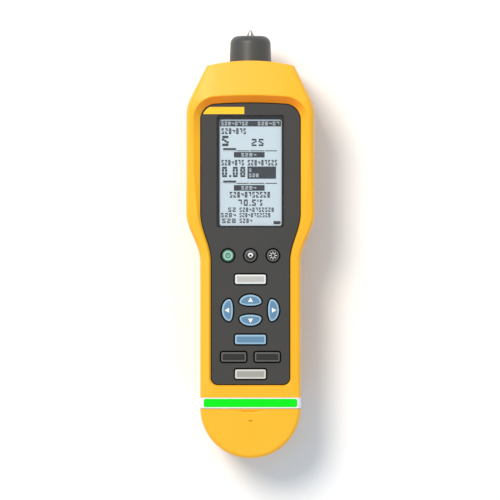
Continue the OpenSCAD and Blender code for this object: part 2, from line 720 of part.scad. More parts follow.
notch_w = 17.2;
notch_l = 2.6;
notch_d = 0.8;
mark_from_band = 6.8;
mark_r = 1.1;
mark_d = 0.3;
function cap_profile(t) = let (edge = band_edge(t))
    concat([[0, band_z - t]], [for (k = [len(edge) - 1 : -1 : 0]) edge[k]],
        [for (k = [2 * back_n - 1 : -1 : back_n]) heel_point(t, back_u(k))]);
module end_cap() color([1, 0.75, 0.2]) {
    difference() {
        intersection() {
            translate([0, y_band, 0]) rotate_extrude($fn = 180) polygon(cap_profile(0));
            translate([-grip_w, y_end - over, -over])
                cube([2 * grip_w, y_band - gap - y_end + over, case_h]);
        }
        translate([0, y_band, 0]) rotate_extrude($fn = 180) polygon(cap_profile(wall));
        translate([-grip_w, y_hinge - knuckle_clear, -over])
            cube([2 * grip_w, grip_w, over + hinge_z + hinge_r + 3 * gap]);
        notch_r = (pow(notch_w / 2, 2) + pow(notch_l, 2)) / (2 * notch_l);
        translate([0, y_band - gap - notch_l + notch_r, band_z - notch_d])
            cylinder(h = notch_d + over, r = notch_r, $fn = 120);
        translate([0, y_band - mark_from_band, band_z - mark_d]) rotate(30)
            cylinder(h = mark_d + over, r = mark_r, $fn = 3);
    }
    difference() {
        union() {
            across_x(y_hinge, hinge_z, -knuckle_half, knuckle_half, hinge_r);
            translate([-knuckle_half, y_hinge - knuckle_clear - over, hinge_z - hinge_r])
                cube([2 * knuckle_half, knuckle_clear + over, 2 * hinge_r]);
        }
        across_x(y_hinge, hinge_z, -head_w, head_w, pin_r + pin_fit);
    }
}
module cap_hinge_pin() color([0.75, 0.76, 0.78])
    across_x(y_hinge, hinge_z, -knuckle_out, knuckle_out, pin_r);

panel_t = 2.2;
panel_in = 0.3;
socket_z = 27;
socket_pitch = 13;
usb_w = 7.8;
usb_h = 4;
usb_wall = 0.4;
usb_tongue = 1.4;
socket_l = 6.4;
jack_l = 11;
jack_r = 3.4;
jack_bore_r = 1.8;
coax_r = 3.4;
coax_bore_r = 2.5;
coax_pin_r = 0.5;
coax_out = 4;
y_socket = y_band + panel_in;
module port_panel() color([0.2, 0.2, 0.2]) {
    difference() {
        along_y(y_socket, y_socket + panel_t) polygon(band_profile(wall + fit));
        translate([-grip_w, y_socket - over, strip_z]) cube([2 * grip_w, panel_t + 2 * over, case_h]);
        translate([-socket_pitch - usb_w / 2 - fit, y_socket - over, socket_z - usb_h / 2 - fit])
            cube([usb_w + 2 * fit, panel_t + 2 * over, usb_h + 2 * fit]);
        rod_y(0, socket_z, y_socket - over, y_socket + panel_t + over, jack_r + fit, jack_r + fit);
        rod_y(socket_pitch, socket_z, y_socket - over, y_socket + panel_t + over,
            coax_r + fit, coax_r + fit);
    }
}
module usb_socket() color([0.78, 0.79, 0.8]) {
    difference() {
        translate([-socket_pitch - usb_w / 2, y_socket, socket_z - usb_h / 2])
            cube([usb_w, socket_l, usb_h]);
        translate([-socket_pitch - usb_w / 2 + usb_wall, y_socket - over, socket_z - usb_h / 2 + usb_wall])
            cube([usb_w - 2 * usb_wall, socket_l + over - 2 * usb_wall, usb_h - 2 * usb_wall]);
    }
    translate([-socket_pitch - usb_w / 4, y_socket + usb_wall, socket_z - usb_tongue / 2])
        cube([usb_w / 2, socket_l - 2 * usb_wall, usb_tongue]);
}
module audio_jack() color([0.13, 0.13, 0.14]) {
    difference() {
        rod_y(0, socket_z, y_socket, y_socket + jack_l, jack_r, jack_r);
        rod_y(0, socket_z, y_socket - over, y_socket + jack_l - panel_t, jack_bore_r, jack_bore_r);
    }
}
module sensor_socket() color([0.8, 0.68, 0.35]) {
    difference() {
        rod_y(socket_pitch, socket_z, y_socket - coax_out, y_socket + socket_l, coax_r, coax_r);
        rod_y(socket_pitch, socket_z, y_socket - coax_out - over, y_socket + panel_t,
            coax_bore_r, coax_bore_r);
    }
    rod_y(socket_pitch, socket_z, y_socket - coax_out / 2, y_socket + panel_t + coax_pin_r,
        coax_pin_r, coax_pin_r);
}

// Nose boot and sensor, turned round the line of the tip
boot_corner_r = 4.5;
boot_taper = 0.4;
boot_bore_clear = 0.35;
module turned(y) translate([0, y, nose_z]) rotate([-90, 0, 0]) rotate_extrude($fn = 128) children();
module nose_boot() color([0.33, 0.33, 0.31]) {
    r = boot_r - boot_taper;
    bore = tip_r + boot_bore_clear;
    turned(y_top) polygon(concat(
        [[bore, -end_wall], [spigot_r, -end_wall], [spigot_r, -nose_floor], [boot_r, -nose_floor]],
        [[boot_r, 0]],
        [for (a = [0 : 10 : 90])
            [r - boot_corner_r * (1 - cos(a)), boot_l - boot_corner_r * (1 - sin(a))]],
        [[bore, boot_l]]));
}
tip_end_r = 0.5;
module sensor_tip() color([0.82, 0.83, 0.84]) {
    y = y_body + body_l;
    turned(y) polygon(concat([[0, 0], [tip_r, 0], [tip_r, y_boot - y]],
        [for (a = [30 : 20 : 90]) [tip_end_r * cos(a), y_tip - y - tip_end_r * (1 - sin(a))]]));
}
can_wall = 2;
can_floor = 4;
module sensor_body() color([0.7, 0.71, 0.73]) {
    difference() {
        rod_y(0, nose_z, y_body, y_body + body_l, body_r, body_r);
        rod_y(0, nose_z, y_body - over, y_body + body_l - can_floor, body_r - can_wall, body_r - can_wall);
    }
}
stack_l = 13;
ring_share = 0.7;
module piezo_stack() color([0.72, 0.62, 0.4]) {
    r = body_r - can_wall - gap;
    y = y_body + body_l - can_floor;
    rod_y(0, nose_z, y - stack_l / 4, y, r * ring_share, r * ring_share);
    rod_y(0, nose_z, y - stack_l, y - stack_l / 4, r, r);
}
wire_r = 1.5;
module sensor_guide() color([0.2, 0.2, 0.21]) {
    difference() {
        rod_y(0, nose_z, y_guide, y_guide + guide_l, guide_r, guide_r);
        rod_y(0, nose_z, y_guide + guide_back, y_guide + guide_l + over, guide_bore_r, guide_bore_r);
        rod_y(0, nose_z, y_guide - over, y_guide + guide_back + over, wire_r, wire_r);
    }
}

// Coil spring as one tube, along Y from the given place
coil_sides = 6;
coil_steps = 10;
module coil(x, y, z, r1, r2, wire, l, turns) {
    n = coil_steps * turns;
    ring = [for (i = [0 : n]) let (
            a = 360 * i / coil_steps, t = i / n, r = mix(r1, r2, t), h = wire + (l - 2 * wire) * t)
        [for (j = [0 : coil_sides - 1]) let (b = 360 * j / coil_sides, q = r + wire * cos(b))
            [x + q * cos(a), y + h + wire * sin(b), z + q * sin(a)]]];
    polyhedron(points = [for (c = ring) each c], faces = concat(
        [for (i = [0 : n - 1], j = [0 : coil_sides - 1], half = [0, 1]) let (
                k = (j + 1) % coil_sides, a = i * coil_sides, b = (i + 1) * coil_sides)
            half == 0 ? [a + j, a + k, b + k] : [a + j, b + k, b + j]],
        [[for (j = [coil_sides - 1 : -1 : 0]) j]],
        [[for (j = [0 : coil_sides - 1]) n * coil_sides + j]]));
}
force_wire = 0.45;
force_r = 5;
force_turns = 3;
module sensor_spring() color([0.6, 0.61, 0.63]) {
    coil(0, y_guide + guide_back, nose_z, force_r, force_r, force_wire,
        y_body - tip_travel - gap - y_guide - guide_back, force_turns);
}

ir_t = 1.4;
eye_in = 0.9;
can_l = 5;
led_base = 1.2;
led_wide = 7;
module ir_lens() color([0.12, 0.1, 0.1]) {
    rod_y(-eye_side, eye_z, y_top - end_wall, y_top - eye_in, ir_r, ir_r);
}
module ir_detector() color([0.72, 0.72, 0.74]) {
    rod_y(-eye_side, eye_z, y_top - end_wall - can_l, y_top - end_wall, ir_r, ir_r);
    y = y_top - end_wall - can_l;
    r = ir_r + fit + led_base / 2;
    rod_y(-eye_side, eye_z, y, y + led_base, r, r);
}
module torch_lens() color([0.9, 0.93, 0.95]) {
    rod_y(eye_side, eye_z, y_top - end_wall, y_top - eye_in, torch_r, torch_r);
}
module torch_led() color([0.95, 0.93, 0.8]) {
    translate([eye_side - led_wide / 2, y_top - end_wall - ir_t - led_base, eye_z - led_wide / 2])
        cube([led_wide, led_base, led_wide]);
    rod_y(eye_side, eye_z, y_top - end_wall - ir_t, y_top - end_wall, torch_r - 2 * fit, torch_r - 2 * fit);
}

module battery_door() color([0.98, 0.72, 0.18]) {
    difference() {
        union() {
            difference() {
                intersection() {
                    outer_back(door_rows);
                    translate([0, 0, over]) door_prism(0);
                }
                inner_back(wall, door_rows);
            }
            for (upper = [false, true])
                translate([0, latch_y(upper), latch_floor(upper) + latch_head_h / 2])
                    cylinder(h = latch_boss_h - latch_head_h / 2, r = latch_boss_r, $fn = 48);
        }
        for (upper = [false, true]) translate([0, latch_y(upper), -over]) {
            cylinder(h = latch_floor(upper) + fit + latch_head_h + over, r = latch_head_r + gap, $fn = 48);
            cylinder(h = parting_z, r = latch_r + gap, $fn = 48);
        }
    }
}
slot_w = 0.9;
slot_d = 0.7;
module door_screw(upper) {
    translate([0, latch_y(upper), latch_floor(upper) + fit]) difference() {
        union() {
            cylinder(h = latch_head_h, r = latch_head_r, $fn = 48);
            cylinder(h = latch_l - 2 * fit, r = latch_r, $fn = 48);
        }
        translate([-latch_head_r - over, -slot_w / 2, -over])
            cube([2 * (latch_head_r + over), slot_w, slot_d + over]);
    }
}
module door_screw_upper() color([0.7, 0.71, 0.73]) door_screw(true);
module door_screw_lower() color([0.7, 0.71, 0.73]) door_screw(false);

nub_r = 2.7;
nub_l = 1;
cell_side = cell_r + cell_gap / 2;
module cells() color([0.25, 0.28, 0.33]) {
    for (s = [-1, 1]) {
        y = s < 0 ? y_cell : y_cell - spring_l;
        start = s < 0 ? y : y + nub_l;
        rod_y(s * cell_side, cell_z, start, start + cell_l - nub_l, cell_r, cell_r);
        rod_y(s * cell_side, cell_z, y, y + cell_l, nub_r, nub_r);
    }
}
plate_w = 11;
module battery_contacts() color([0.8, 0.8, 0.78]) {
    for (s = [-1, 1], y = [y_bay_end, y_bay_top - contact_t])
        translate([s * cell_side - plate_w / 2, y, cell_z - plate_w / 2])
            cube([plate_w, contact_t, plate_w]);
}
cell_wire = 0.4;
coil_big = 4.2;
coil_small = 2;
cell_turns = 3;
module battery_springs() color([0.65, 0.66, 0.68]) {
    l = spring_l;
    coil(-cell_side, y_bay_end + contact_t, cell_z, coil_big, coil_small, cell_wire, l, cell_turns);
    coil(cell_side, y_bay_top - contact_t - l, cell_z, coil_small, coil_big, cell_wire, l, cell_turns);
}

hex_share = 0.8;
module case_screws() color([0.55, 0.56, 0.58]) {
    at_screws() translate([0, 0, screw_seat_z - screw_head_h]) difference() {
        union() {
            cylinder(h = screw_head_h, r = screw_head_r, $fn = 48);
            cylinder(h = parting_z + insert_l + screw_head_h - screw_seat_z, r = screw_r, $fn = 48);
        }
        translate([0, 0, -over]) cylinder(h = over + screw_head_h / 2, r = screw_r * hex_share, $fn = 6);
    }
}
module screw_inserts() color([0.8, 0.65, 0.3]) {
    at_screws() translate([0, 0, parting_z]) difference() {
        cylinder(h = insert_l, r = insert_r - pin_fit, $fn = 48);
        translate([0, 0, -over]) cylinder(h = insert_l + 2 * over, r = screw_r + pin_fit, $fn = 48);
    }
}

front_case();
rear_case();
case_gasket();
fascia();
display_window();
display_gasket();
lcd_panel();
lcd_backlight();
lcd_flex();
main_board();
board_chips();
radio_module();
dome_sheet();
keypad_mat();
key_power();
key_torch();
key_backlight();
key_measure();
key_up();
key_down();
key_left();
key_right();
key_enter();
key_save();
key_memory();
key_setup();
status_band();
status_lens();
status_board();
end_cap();
cap_hinge_pin();
port_panel();
usb_socket();
audio_jack();
sensor_socket();
nose_boot();
sensor_tip();
sensor_body();
piezo_stack();
sensor_guide();
sensor_spring();
ir_lens();
ir_detector();
torch_lens();
torch_led();
battery_door();
door_screw_upper();
door_screw_lower();
cells();
battery_contacts();
battery_springs();
case_screws();
screw_inserts();
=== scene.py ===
import json
from math import asin, cos, pi, radians, sin, sqrt, tan

import bmesh
import bpy
from mathutils import Matrix, Vector


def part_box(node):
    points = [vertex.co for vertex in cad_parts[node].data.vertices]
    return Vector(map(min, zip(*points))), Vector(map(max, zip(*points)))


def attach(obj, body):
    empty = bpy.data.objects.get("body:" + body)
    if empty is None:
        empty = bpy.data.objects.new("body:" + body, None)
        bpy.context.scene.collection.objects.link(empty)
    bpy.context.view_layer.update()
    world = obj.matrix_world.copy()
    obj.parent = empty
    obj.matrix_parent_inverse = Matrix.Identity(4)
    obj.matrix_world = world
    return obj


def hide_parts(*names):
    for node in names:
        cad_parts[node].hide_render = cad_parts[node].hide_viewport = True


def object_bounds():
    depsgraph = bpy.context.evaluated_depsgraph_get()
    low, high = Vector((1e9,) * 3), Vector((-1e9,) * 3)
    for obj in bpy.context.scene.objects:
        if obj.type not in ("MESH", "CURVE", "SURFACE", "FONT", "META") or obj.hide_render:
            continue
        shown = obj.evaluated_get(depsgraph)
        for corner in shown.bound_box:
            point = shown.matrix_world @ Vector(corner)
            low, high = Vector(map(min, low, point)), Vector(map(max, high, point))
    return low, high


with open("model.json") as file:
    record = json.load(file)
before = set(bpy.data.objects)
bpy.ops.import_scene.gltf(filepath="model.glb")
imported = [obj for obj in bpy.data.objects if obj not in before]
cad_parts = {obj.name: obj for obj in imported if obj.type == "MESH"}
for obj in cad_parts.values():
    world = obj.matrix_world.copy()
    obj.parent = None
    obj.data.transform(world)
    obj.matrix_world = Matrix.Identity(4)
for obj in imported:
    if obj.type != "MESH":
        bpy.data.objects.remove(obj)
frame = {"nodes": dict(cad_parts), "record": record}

cad_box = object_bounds()
nodes = frame["nodes"]

# Lengths are in millimetres, in the frame of the solids, and mesh code turns them into metres
MM = 0.001


def node_low(name):
    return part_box(name)[0] / MM


def node_high(name):
    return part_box(name)[1] / MM


# Driving sizes of the case, as the solids have them
head_w = 72.4
grip_w = 56.8
case_h = 58.0
rim_h = 4.4
parting_z = 28.0
wall = 2.4
end_wall = 4.0
end_r = 105.8
shoulder_l = 30.6
shoulder_r = 22.0
shoulder_angle = radians(27)
neck_from_top = 85.1
neck_l = 27.5
waist_z = 12.0
fascia_head_w = 56.2
fascia_grip_w = 44.4
fascia_from_top = 23.4
fascia_from_band = 7.0
fascia_t = 2.0
gap = 0.3
fit = 0.1
over = 2.0

# Places along the meter, read from the solids
y_case = node_low("front_case").y
y_top = node_high("front_case").y
y_boot = node_high("nose_boot").y
band_l = 6.1
y_band = y_case - band_l
y_end = y_band - grip_w / 2
face_z = case_h - rim_h
seat_z = face_z - fascia_t
y_shoulder = y_top - shoulder_l
y_neck = y_top - neck_from_top
y_grip = y_neck - neck_l
y_fascia_top = y_top - fascia_from_top
y_fascia_end = y_case + fascia_from_band


# Mesh helpers
weld_gap = 1e-7
sliver_l = 2e-6
flat_angle = 0.1


def link_object(piece):
    bpy.context.scene.collection.objects.link(piece)


def put(name, mesh, material, body, stands_for=()):
    """Places a mesh in the scene as a piece that rides on a body."""
    piece = bpy.data.objects.new(name, mesh)
    link_object(piece)
    mesh.materials.clear()
    mesh.materials.append(material)
    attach(piece, body)
    if stands_for:
        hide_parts(*stands_for)
    return piece


def smooth_shade(mesh, angle):
    """Shades smooth, but keeps the edges sharp where faces meet at more than the angle."""
    mesh.polygons.foreach_set("use_smooth", [True] * len(mesh.polygons))
    mesh.set_sharp_from_angle(angle=radians(angle))


def welded(mesh):
    """The same mesh, with points that meet made one and its faces turned outwards."""
    work = bmesh.new()
    work.from_mesh(mesh)
    bmesh.ops.remove_doubles(work, verts=work.verts, dist=weld_gap)
    bmesh.ops.recalc_face_normals(work, faces=work.faces)
    work.to_mesh(mesh)
    work.free()
    return mesh


def solid(points, faces):
    """A closed mesh from points in millimetres."""
    mesh = bpy.data.meshes.new("solid")
    mesh.from_pydata([[c * MM for c in p] for p in points], [], faces)
    return welded(mesh)


def skin(rings, closed_rings=True, loop=False):
    """Joins sections that have the same number of points. A loop has no end faces."""
    n = len(rings[0])
    m = len(rings)
    points = [p for ring in rings for p in ring]
    faces = []
    for j in range(m if loop else m - 1):
        a = j * n
        b = (j + 1) % m * n
        for k in range(n if closed_rings else n - 1):
            c = (k + 1) % n
            faces.append((a + k, b + k, b + c, a + c))
    if not loop:
        faces.append(tuple(range(n)))
        faces.append(tuple(range((m - 1) * n, m * n)))
    return solid(points, faces)


def block(x0, x1, y0, y1, z0, z1):
    return skin([[(x0, y0, z), (x1, y0, z), (x1, y1, z), (x0, y1, z)] for z in (z0, z1)])


def prism(outline, z0, z1):
    return skin([[(x, y, z) for x, y in outline] for z in (z0, z1)])


def circle(x, y, r, turns=48):
    return [(x + r * cos(2 * pi * k / turns), y + r * sin(2 * pi * k / turns)) for k in range(turns)]


def rod_z(x, y, r, z0, z1, turns=48):
    return prism(circle(x, y, r, turns), z0, z1)


def rod_y(x, z, r, y0, y1, turns=64):
    return skin([[(px, y, pz) for px, pz in circle(x, z, r, turns)] for y in (y0, y1)])


def rod_x(y, z, r, x0, x1, turns=48):
    return skin([[(x, py, pz) for py, pz in circle(y, z, r, turns)] for x in (x0, x1)])


def combine(mesh, others, how):
    """Cuts, joins or keeps what is common, with each of the other meshes in turn."""
    for other in others:
        base = bpy.data.objects.new("base", mesh)
        tool = bpy.data.objects.new("tool", other)
        for o in (base, tool):
            link_object(o)
        change = base.modifiers.new("combine", "BOOLEAN")
        change.operation = how
        change.solver = "MANIFOLD"
        change.object = tool
        bpy.context.view_layer.update()
        seen = base.evaluated_get(bpy.context.evaluated_depsgraph_get())
        mesh = bpy.data.meshes.new_from_object(seen)
        for o in (base, tool):
            bpy.data.objects.remove(o)
    return mesh


def cut(mesh, *others):
    return combine(mesh, others, "DIFFERENCE")


def join(mesh, *others):
    return combine(mesh, others, "UNION")


def common(mesh, *others):
    return combine(mesh, others, "INTERSECT")


# Form of the case, by the same rules as the solids but in finer steps

FINE = 4
end_extra = 6.0
y_past_top = y_top + end_extra
y_past_end = y_case - end_extra
chamfer_x = head_w / 2 - shoulder_r * (1 - cos(shoulder_angle))
chamfer_y = y_shoulder + shoulder_r * sin(shoulder_angle)
foot_r = 4.0
y_foot = y_fascia_end + foot_r
neck_n = 10 * FINE
side_n = 6 * FINE
grip_n = 8 * FINE
top_n = 6 * FINE
chamfer_n = 5 * FINE
arc_n = 4 * FINE
foot_n = 3 * FINE
end_n = 4 * FINE


def smooth(t):
    return (1 - cos(pi * clamp(t))) / 2


def clamp(t):
    return min(max(t, 0), 1)


def mix(a, b, t):
    return a + (b - a) * t


def steps(start, end, n, last=False):
    return [mix(start, end, i / n) for i in range(n + (1 if last else 0))]


def neck_share(y):
    return smooth((y_neck - y) / neck_l)


def outer_w(y):
    """Half the width of the case at a place along it."""
    if y > chamfer_y:
        return chamfer_x - (y - chamfer_y) * tan(shoulder_angle)
    if y > y_shoulder:
        return head_w / 2 - shoulder_r + sqrt(shoulder_r ** 2 - (y - y_shoulder) ** 2)
    return head_w / 2 - (head_w - grip_w) / 2 * neck_share(y)


outer_rows = (
    steps(y_past_top, chamfer_y, chamfer_n)
    + [y_shoulder + shoulder_r * sin(a) for a in steps(shoulder_angle, 0, arc_n)]
    + steps(y_shoulder, y_neck, side_n)
    + steps(y_neck, y_grip, neck_n)
    + steps(y_grip, y_foot, grip_n)
    + steps(y_foot, y_past_end, foot_n, last=True)
)
outer_half = (
    [(x, y_past_top) for x in steps(0, outer_w(y_past_top), top_n)]
    + [(outer_w(y), y) for y in outer_rows]
    + [(x, y_past_end) for x in steps(outer_w(y_past_end), 0, end_n, last=True)[1:]]
)

fascia_arch = 0.7
fascia_r = 9.0
corner_n = chamfer_n + arc_n
corner_x = fascia_head_w / 2 - fascia_r
corner_y = y_fascia_top - fascia_arch - fascia_r


def fascia_w(y):
    return fascia_head_w / 2 - (fascia_head_w - fascia_grip_w) / 2 * neck_share(y)


foot_x = fascia_grip_w / 2 - foot_r
fascia_half = (
    [(corner_x * t, y_fascia_top - fascia_arch * t ** 2) for t in steps(0, 1, top_n)]
    + [(corner_x + fascia_r * cos(a), corner_y + fascia_r * sin(a)) for a in steps(pi / 2, 0, corner_n)]
    + [(fascia_w(y), y) for y in steps(corner_y, y_neck, side_n)]
    + [(fascia_w(y), y) for y in steps(y_neck, y_grip, neck_n)]
    + [(fascia_w(y), y) for y in steps(y_grip, y_foot, grip_n)]
    + [(foot_x + foot_r * cos(a), y_foot + foot_r * sin(a)) for a in steps(0, -pi / 2, foot_n, last=True)]
    + [(x, y_fascia_end) for x in steps(foot_x, 0, end_n, last=True)[1:]]
)


def mirrored(half):
    return half + [(-x, y) for x, y in half[-2:0:-1]]


outer_loop = mirrored(outer_half)
fascia_loop = mirrored(fascia_half)

# Front surface
grip_rise = 0.6
rim_crown = 0.9
side_dip = 1.5
side_dip_from = 16.0
side_dip_w = 12.0
side_dip_l = 24.0
nose_drop = 4.0
rise_from = 16.0
rise_l = 50.0
crest_head_w = 4.1
crest_grip_w = 1.3
edge_head_r = 3.2
edge_grip_r = 2.2
edge_head_h = 6.0
edge_grip_h = 3.2
side_draft = 0.4
y_crest = y_fascia_top + crest_head_w
edge_n = 10
crest_round_head = 1.0
crest_round_grip = 0.5
ledge_w = 1.6
ledge_t = 2.2
flattest_ray = 0.25
reach_share = 0.9
cavity_z = seat_z - ledge_t


def rim_share(y):
    return smooth((y - y_neck + rise_from) / rise_l)


def rim_z(x, y):
    rise = face_z + grip_rise + (case_h - face_z - grip_rise) * rim_share(y)
    drop = nose_drop * clamp((y - y_crest) / (y_past_top - y_crest))
    dip = side_dip * smooth((abs(x) - side_dip_from) / side_dip_w) * smooth((y_fascia_top - y) / side_dip_l)
    return rise - drop - (rim_crown * (x / (head_w / 2)) ** 2 + dip) * rim_share(y)


def edge_points(y, z):
    """The front edge: distance in from the outline, and height, from the seam up."""
    s = rim_share(y)
    r = mix(edge_grip_r, edge_head_r, s)
    h = mix(edge_grip_h, edge_head_h, s)
    low = [(0, parting_z), (side_draft / 4, mix(parting_z, z - h, 0.5))]
    angles = steps(0, pi / 2, edge_n, True)
    return low + [(side_draft + r * (1 - cos(a)), z - h * (1 - sin(a))) for a in angles]


def rounded_corner(a, b, c, r, n=4):
    """Points of an arc that rounds the corner b between a and c."""
    u = Vector(a) - Vector(b)
    v = Vector(c) - Vector(b)
    half = u.angle(v) / 2
    reach = min(r / tan(half), u.length * reach_share, v.length * reach_share)
    r = reach * tan(half)
    centre = Vector(b) + (u.normalized() + v.normalized()).normalized() * (r / sin(half))
    start = Vector(b) + u.normalized() * reach - centre
    end = Vector(b) + v.normalized() * reach - centre
    return [tuple(centre + start.slerp(end, k / n)) for k in range(n + 1)]


def ray_section(p, f):
    """A section of the front case along the ray from the outline to the fascia."""
    line = Vector(f) - Vector(p)
    length = line.length
    ray = line / length
    s = rim_share(f[1])
    crest = length - mix(crest_grip_w, crest_head_w, s)
    past = p[1] - (y_top - end_wall)
    inner = max(wall, min(past / max(-ray.y, flattest_ray), crest)) if past > 0 else wall
    edge = edge_points(p[1], rim_z(p[0], p[1]))
    c = Vector(p) + ray * crest
    top = (crest, rim_z(c.x, c.y))
    face = (length - fit, face_z)
    ridge = rounded_corner(edge[-1], top, face, mix(crest_round_grip, crest_round_head, s))
    profile = edge + ridge + [
        face,
        (length - fit, seat_z),
        (length + ledge_w, seat_z),
        (length + ledge_w, cavity_z),
        (inner, cavity_z),
        (inner, parting_z),
    ]
    return [(p[0] + ray.x * d, p[1] + ray.y * d, z) for d, z in profile]


# Back surface
back_n = 36
back_p = 2.6
back_q = 2.2
back_sink = 1.0
hump_from_neck = 26.0
waist_in_l = 36.0
waist_l = 46.0
waist_out_l = 30.0
lift_from_top = 16.0
lift_z = 9.0
y_waist_in = y_neck + hump_from_neck
y_waist_out = y_waist_in - waist_in_l - waist_l
back_us = [-cos(pi * k / (2 * back_n)) for k in range(2 * back_n + 1)]


def waist_share(y):
    return smooth((y_waist_in - y) / waist_in_l) * (1 - smooth((y_waist_out - y) / waist_out_l))


def back_depth(y):
    lift = lift_z * clamp((y - y_top + lift_from_top) / (end_extra + lift_from_top)) ** 2
    return parting_z + back_sink - (back_sink + waist_z) * waist_share(y) - lift


def back_share(u):
    return (1 - abs(u) ** back_p) ** (1 / back_q)


def back_section(y, t, top):
    """A section across the meter, under the seam, drawn in by t."""
    w = outer_w(y) - t
    d = (min(back_depth(y), parting_z) if t > 0 else back_depth(y)) - t
    low = [(w * u, y, parting_z - d * back_share(u)) for u in back_us]
    return [(-w, y, top)] + low + [(w, y, top)] if top > parting_z else low


def back_block(rows, t, top):
    return skin([back_section(y, t, top) for y in rows])


inner_rows = [y_top - end_wall] + [y for y in outer_rows if y < y_top - end_wall - over]


def outer_back(rows=None):
    return back_block(rows or outer_rows, 0, parting_z)


def inner_back(t, rows=None):
    return back_block(rows or inner_rows, t, parting_z + over)


end_turns = 720


def case_bounds(low, high):
    """The space between the curved top end and the status band."""
    round_end = rod_z(0, y_top - end_r, end_r, low, high, end_turns)
    return common(round_end, block(-head_w, head_w, y_case, y_top + over, low - over, high + over))


seam_w = 0.35
seam_h = 0.22


def seam_groove():
    """A fine groove all round, where the two halves of the case meet."""
    def loop(t):
        right = [(outer_w(y) - t, y) for y in outer_rows]
        return right + [(-x, y) for x, y in reversed(right)]
    low = parting_z - seam_h
    high = parting_z + seam_h
    inside = prism(loop(seam_w), low - over, high + over)
    round_end = rod_z(0, y_top - end_r, end_r - seam_w, low - 2 * over, high + 2 * over, end_turns)
    inside = common(inside, round_end)
    return cut(prism(loop(-over), low, high), inside)


# Places of the screws, the nose and the battery bay
nose_turns = 96
boss_turns = 32
bore_turns = 24
head_screw_x = 26.0
head_screw_down = 8.0
grip_screw_x = 18.5
grip_screw_up = 5.5
screw_places = [
    (s * x, y)
    for x, y in ((head_screw_x, y_shoulder - head_screw_down), (grip_screw_x, y_case + grip_screw_up))
    for s in (-1, 1)
]
screw_r = 1.5
screw_bore_l = 10.0
screw_seat_z = 16.0
well_r = 3.1
well_boss_r = 4.4
boss_r = 3.7
nose_z = 33.0
spigot_r = 9.6
boot_r = 11.7
nose_floor = 1.6
eye_side = 9.5
eye_z = 14.0
ir_r = 3.6
torch_r = 3.2
cell_r = 7.1
cell_l = 50.2
cell_apart = 0.5
spring_l = 4.5
contact_t = 0.8
bay_from_neck = 17.5
bay_clear = 0.4
bay_wall = 1.6
seat_t = 1.6
bay_w = 4 * cell_r + cell_apart + 2 * bay_clear
bay_l = cell_l + spring_l + contact_t + 2 * bay_clear
y_bay_top = y_neck - bay_from_neck
y_bay_end = y_bay_top - bay_l
bay_top_z = waist_z + wall + gap + 2 * cell_r + 2 * bay_clear
door_w = 36.0
door_l = 74.0
door_r = 4.0
y_door = (y_bay_top + y_bay_end) / 2 - door_l / 2
latch_r = 1.4
latch_head_r = 2.6
latch_head_h = 1.6
latch_boss_r = 3.6
latch_boss_h = 5.2
latch_l = 12.0
latch_from_bay = latch_boss_r + bay_wall / 3
latches = [y_bay_top + latch_from_bay, y_bay_end - latch_from_bay]
door_reach = 2 * (wall + seat_t + neck_l / 10)
door_rows = [y for y in outer_rows if y_door - door_reach < y < y_door + door_l + door_reach]


def back_z(y):
    return max(parting_z - back_depth(y), 0)


def latch_floor(y):
    return max(back_z(y - latch_head_r), back_z(y + latch_head_r))


def rounded_rectangle(x, y, w, l, r, n=8):
    corners = [(1, 1, 0), (-1, 1, 90), (-1, -1, 180), (1, -1, 270)]
    return [
        (x + sx * (w / 2 - r) + r * cos(radians(a) + t), y + sy * (l / 2 - r) + r * sin(radians(a) + t))
        for sx, sy, a in corners
        for t in steps(0, pi / 2, n, True)
    ]


def door_prism(grow):
    outline = rounded_rectangle(0, y_door + door_l / 2, door_w + 2 * grow, door_l + 2 * grow, door_r + grow)
    return prism(outline, -over, parting_z - over)


def nose_hole():
    seat = rod_y(0, nose_z, boot_r + fit, y_top - nose_floor, y_top + over, nose_turns)
    bore = rod_y(0, nose_z, spigot_r + fit, y_top - end_wall - over, y_top + over / 2, nose_turns)
    return join(seat, bore)


def front_case_mesh():
    ring = skin([ray_section(p, f) for p, f in zip(outer_loop, fascia_loop)], loop=True)
    mesh = common(ring, case_bounds(parting_z - over, case_h + over))
    for x, y in screw_places:
        mesh = join(mesh, rod_z(x, y, boss_r, parting_z, cavity_z + ledge_t / 2, boss_turns))
        bore = rod_z(x, y, screw_r + gap, parting_z - over, parting_z + screw_bore_l, bore_turns)
        mesh = cut(mesh, bore)
    mesh = cut(mesh, nose_hole(), seam_groove())
    return mesh


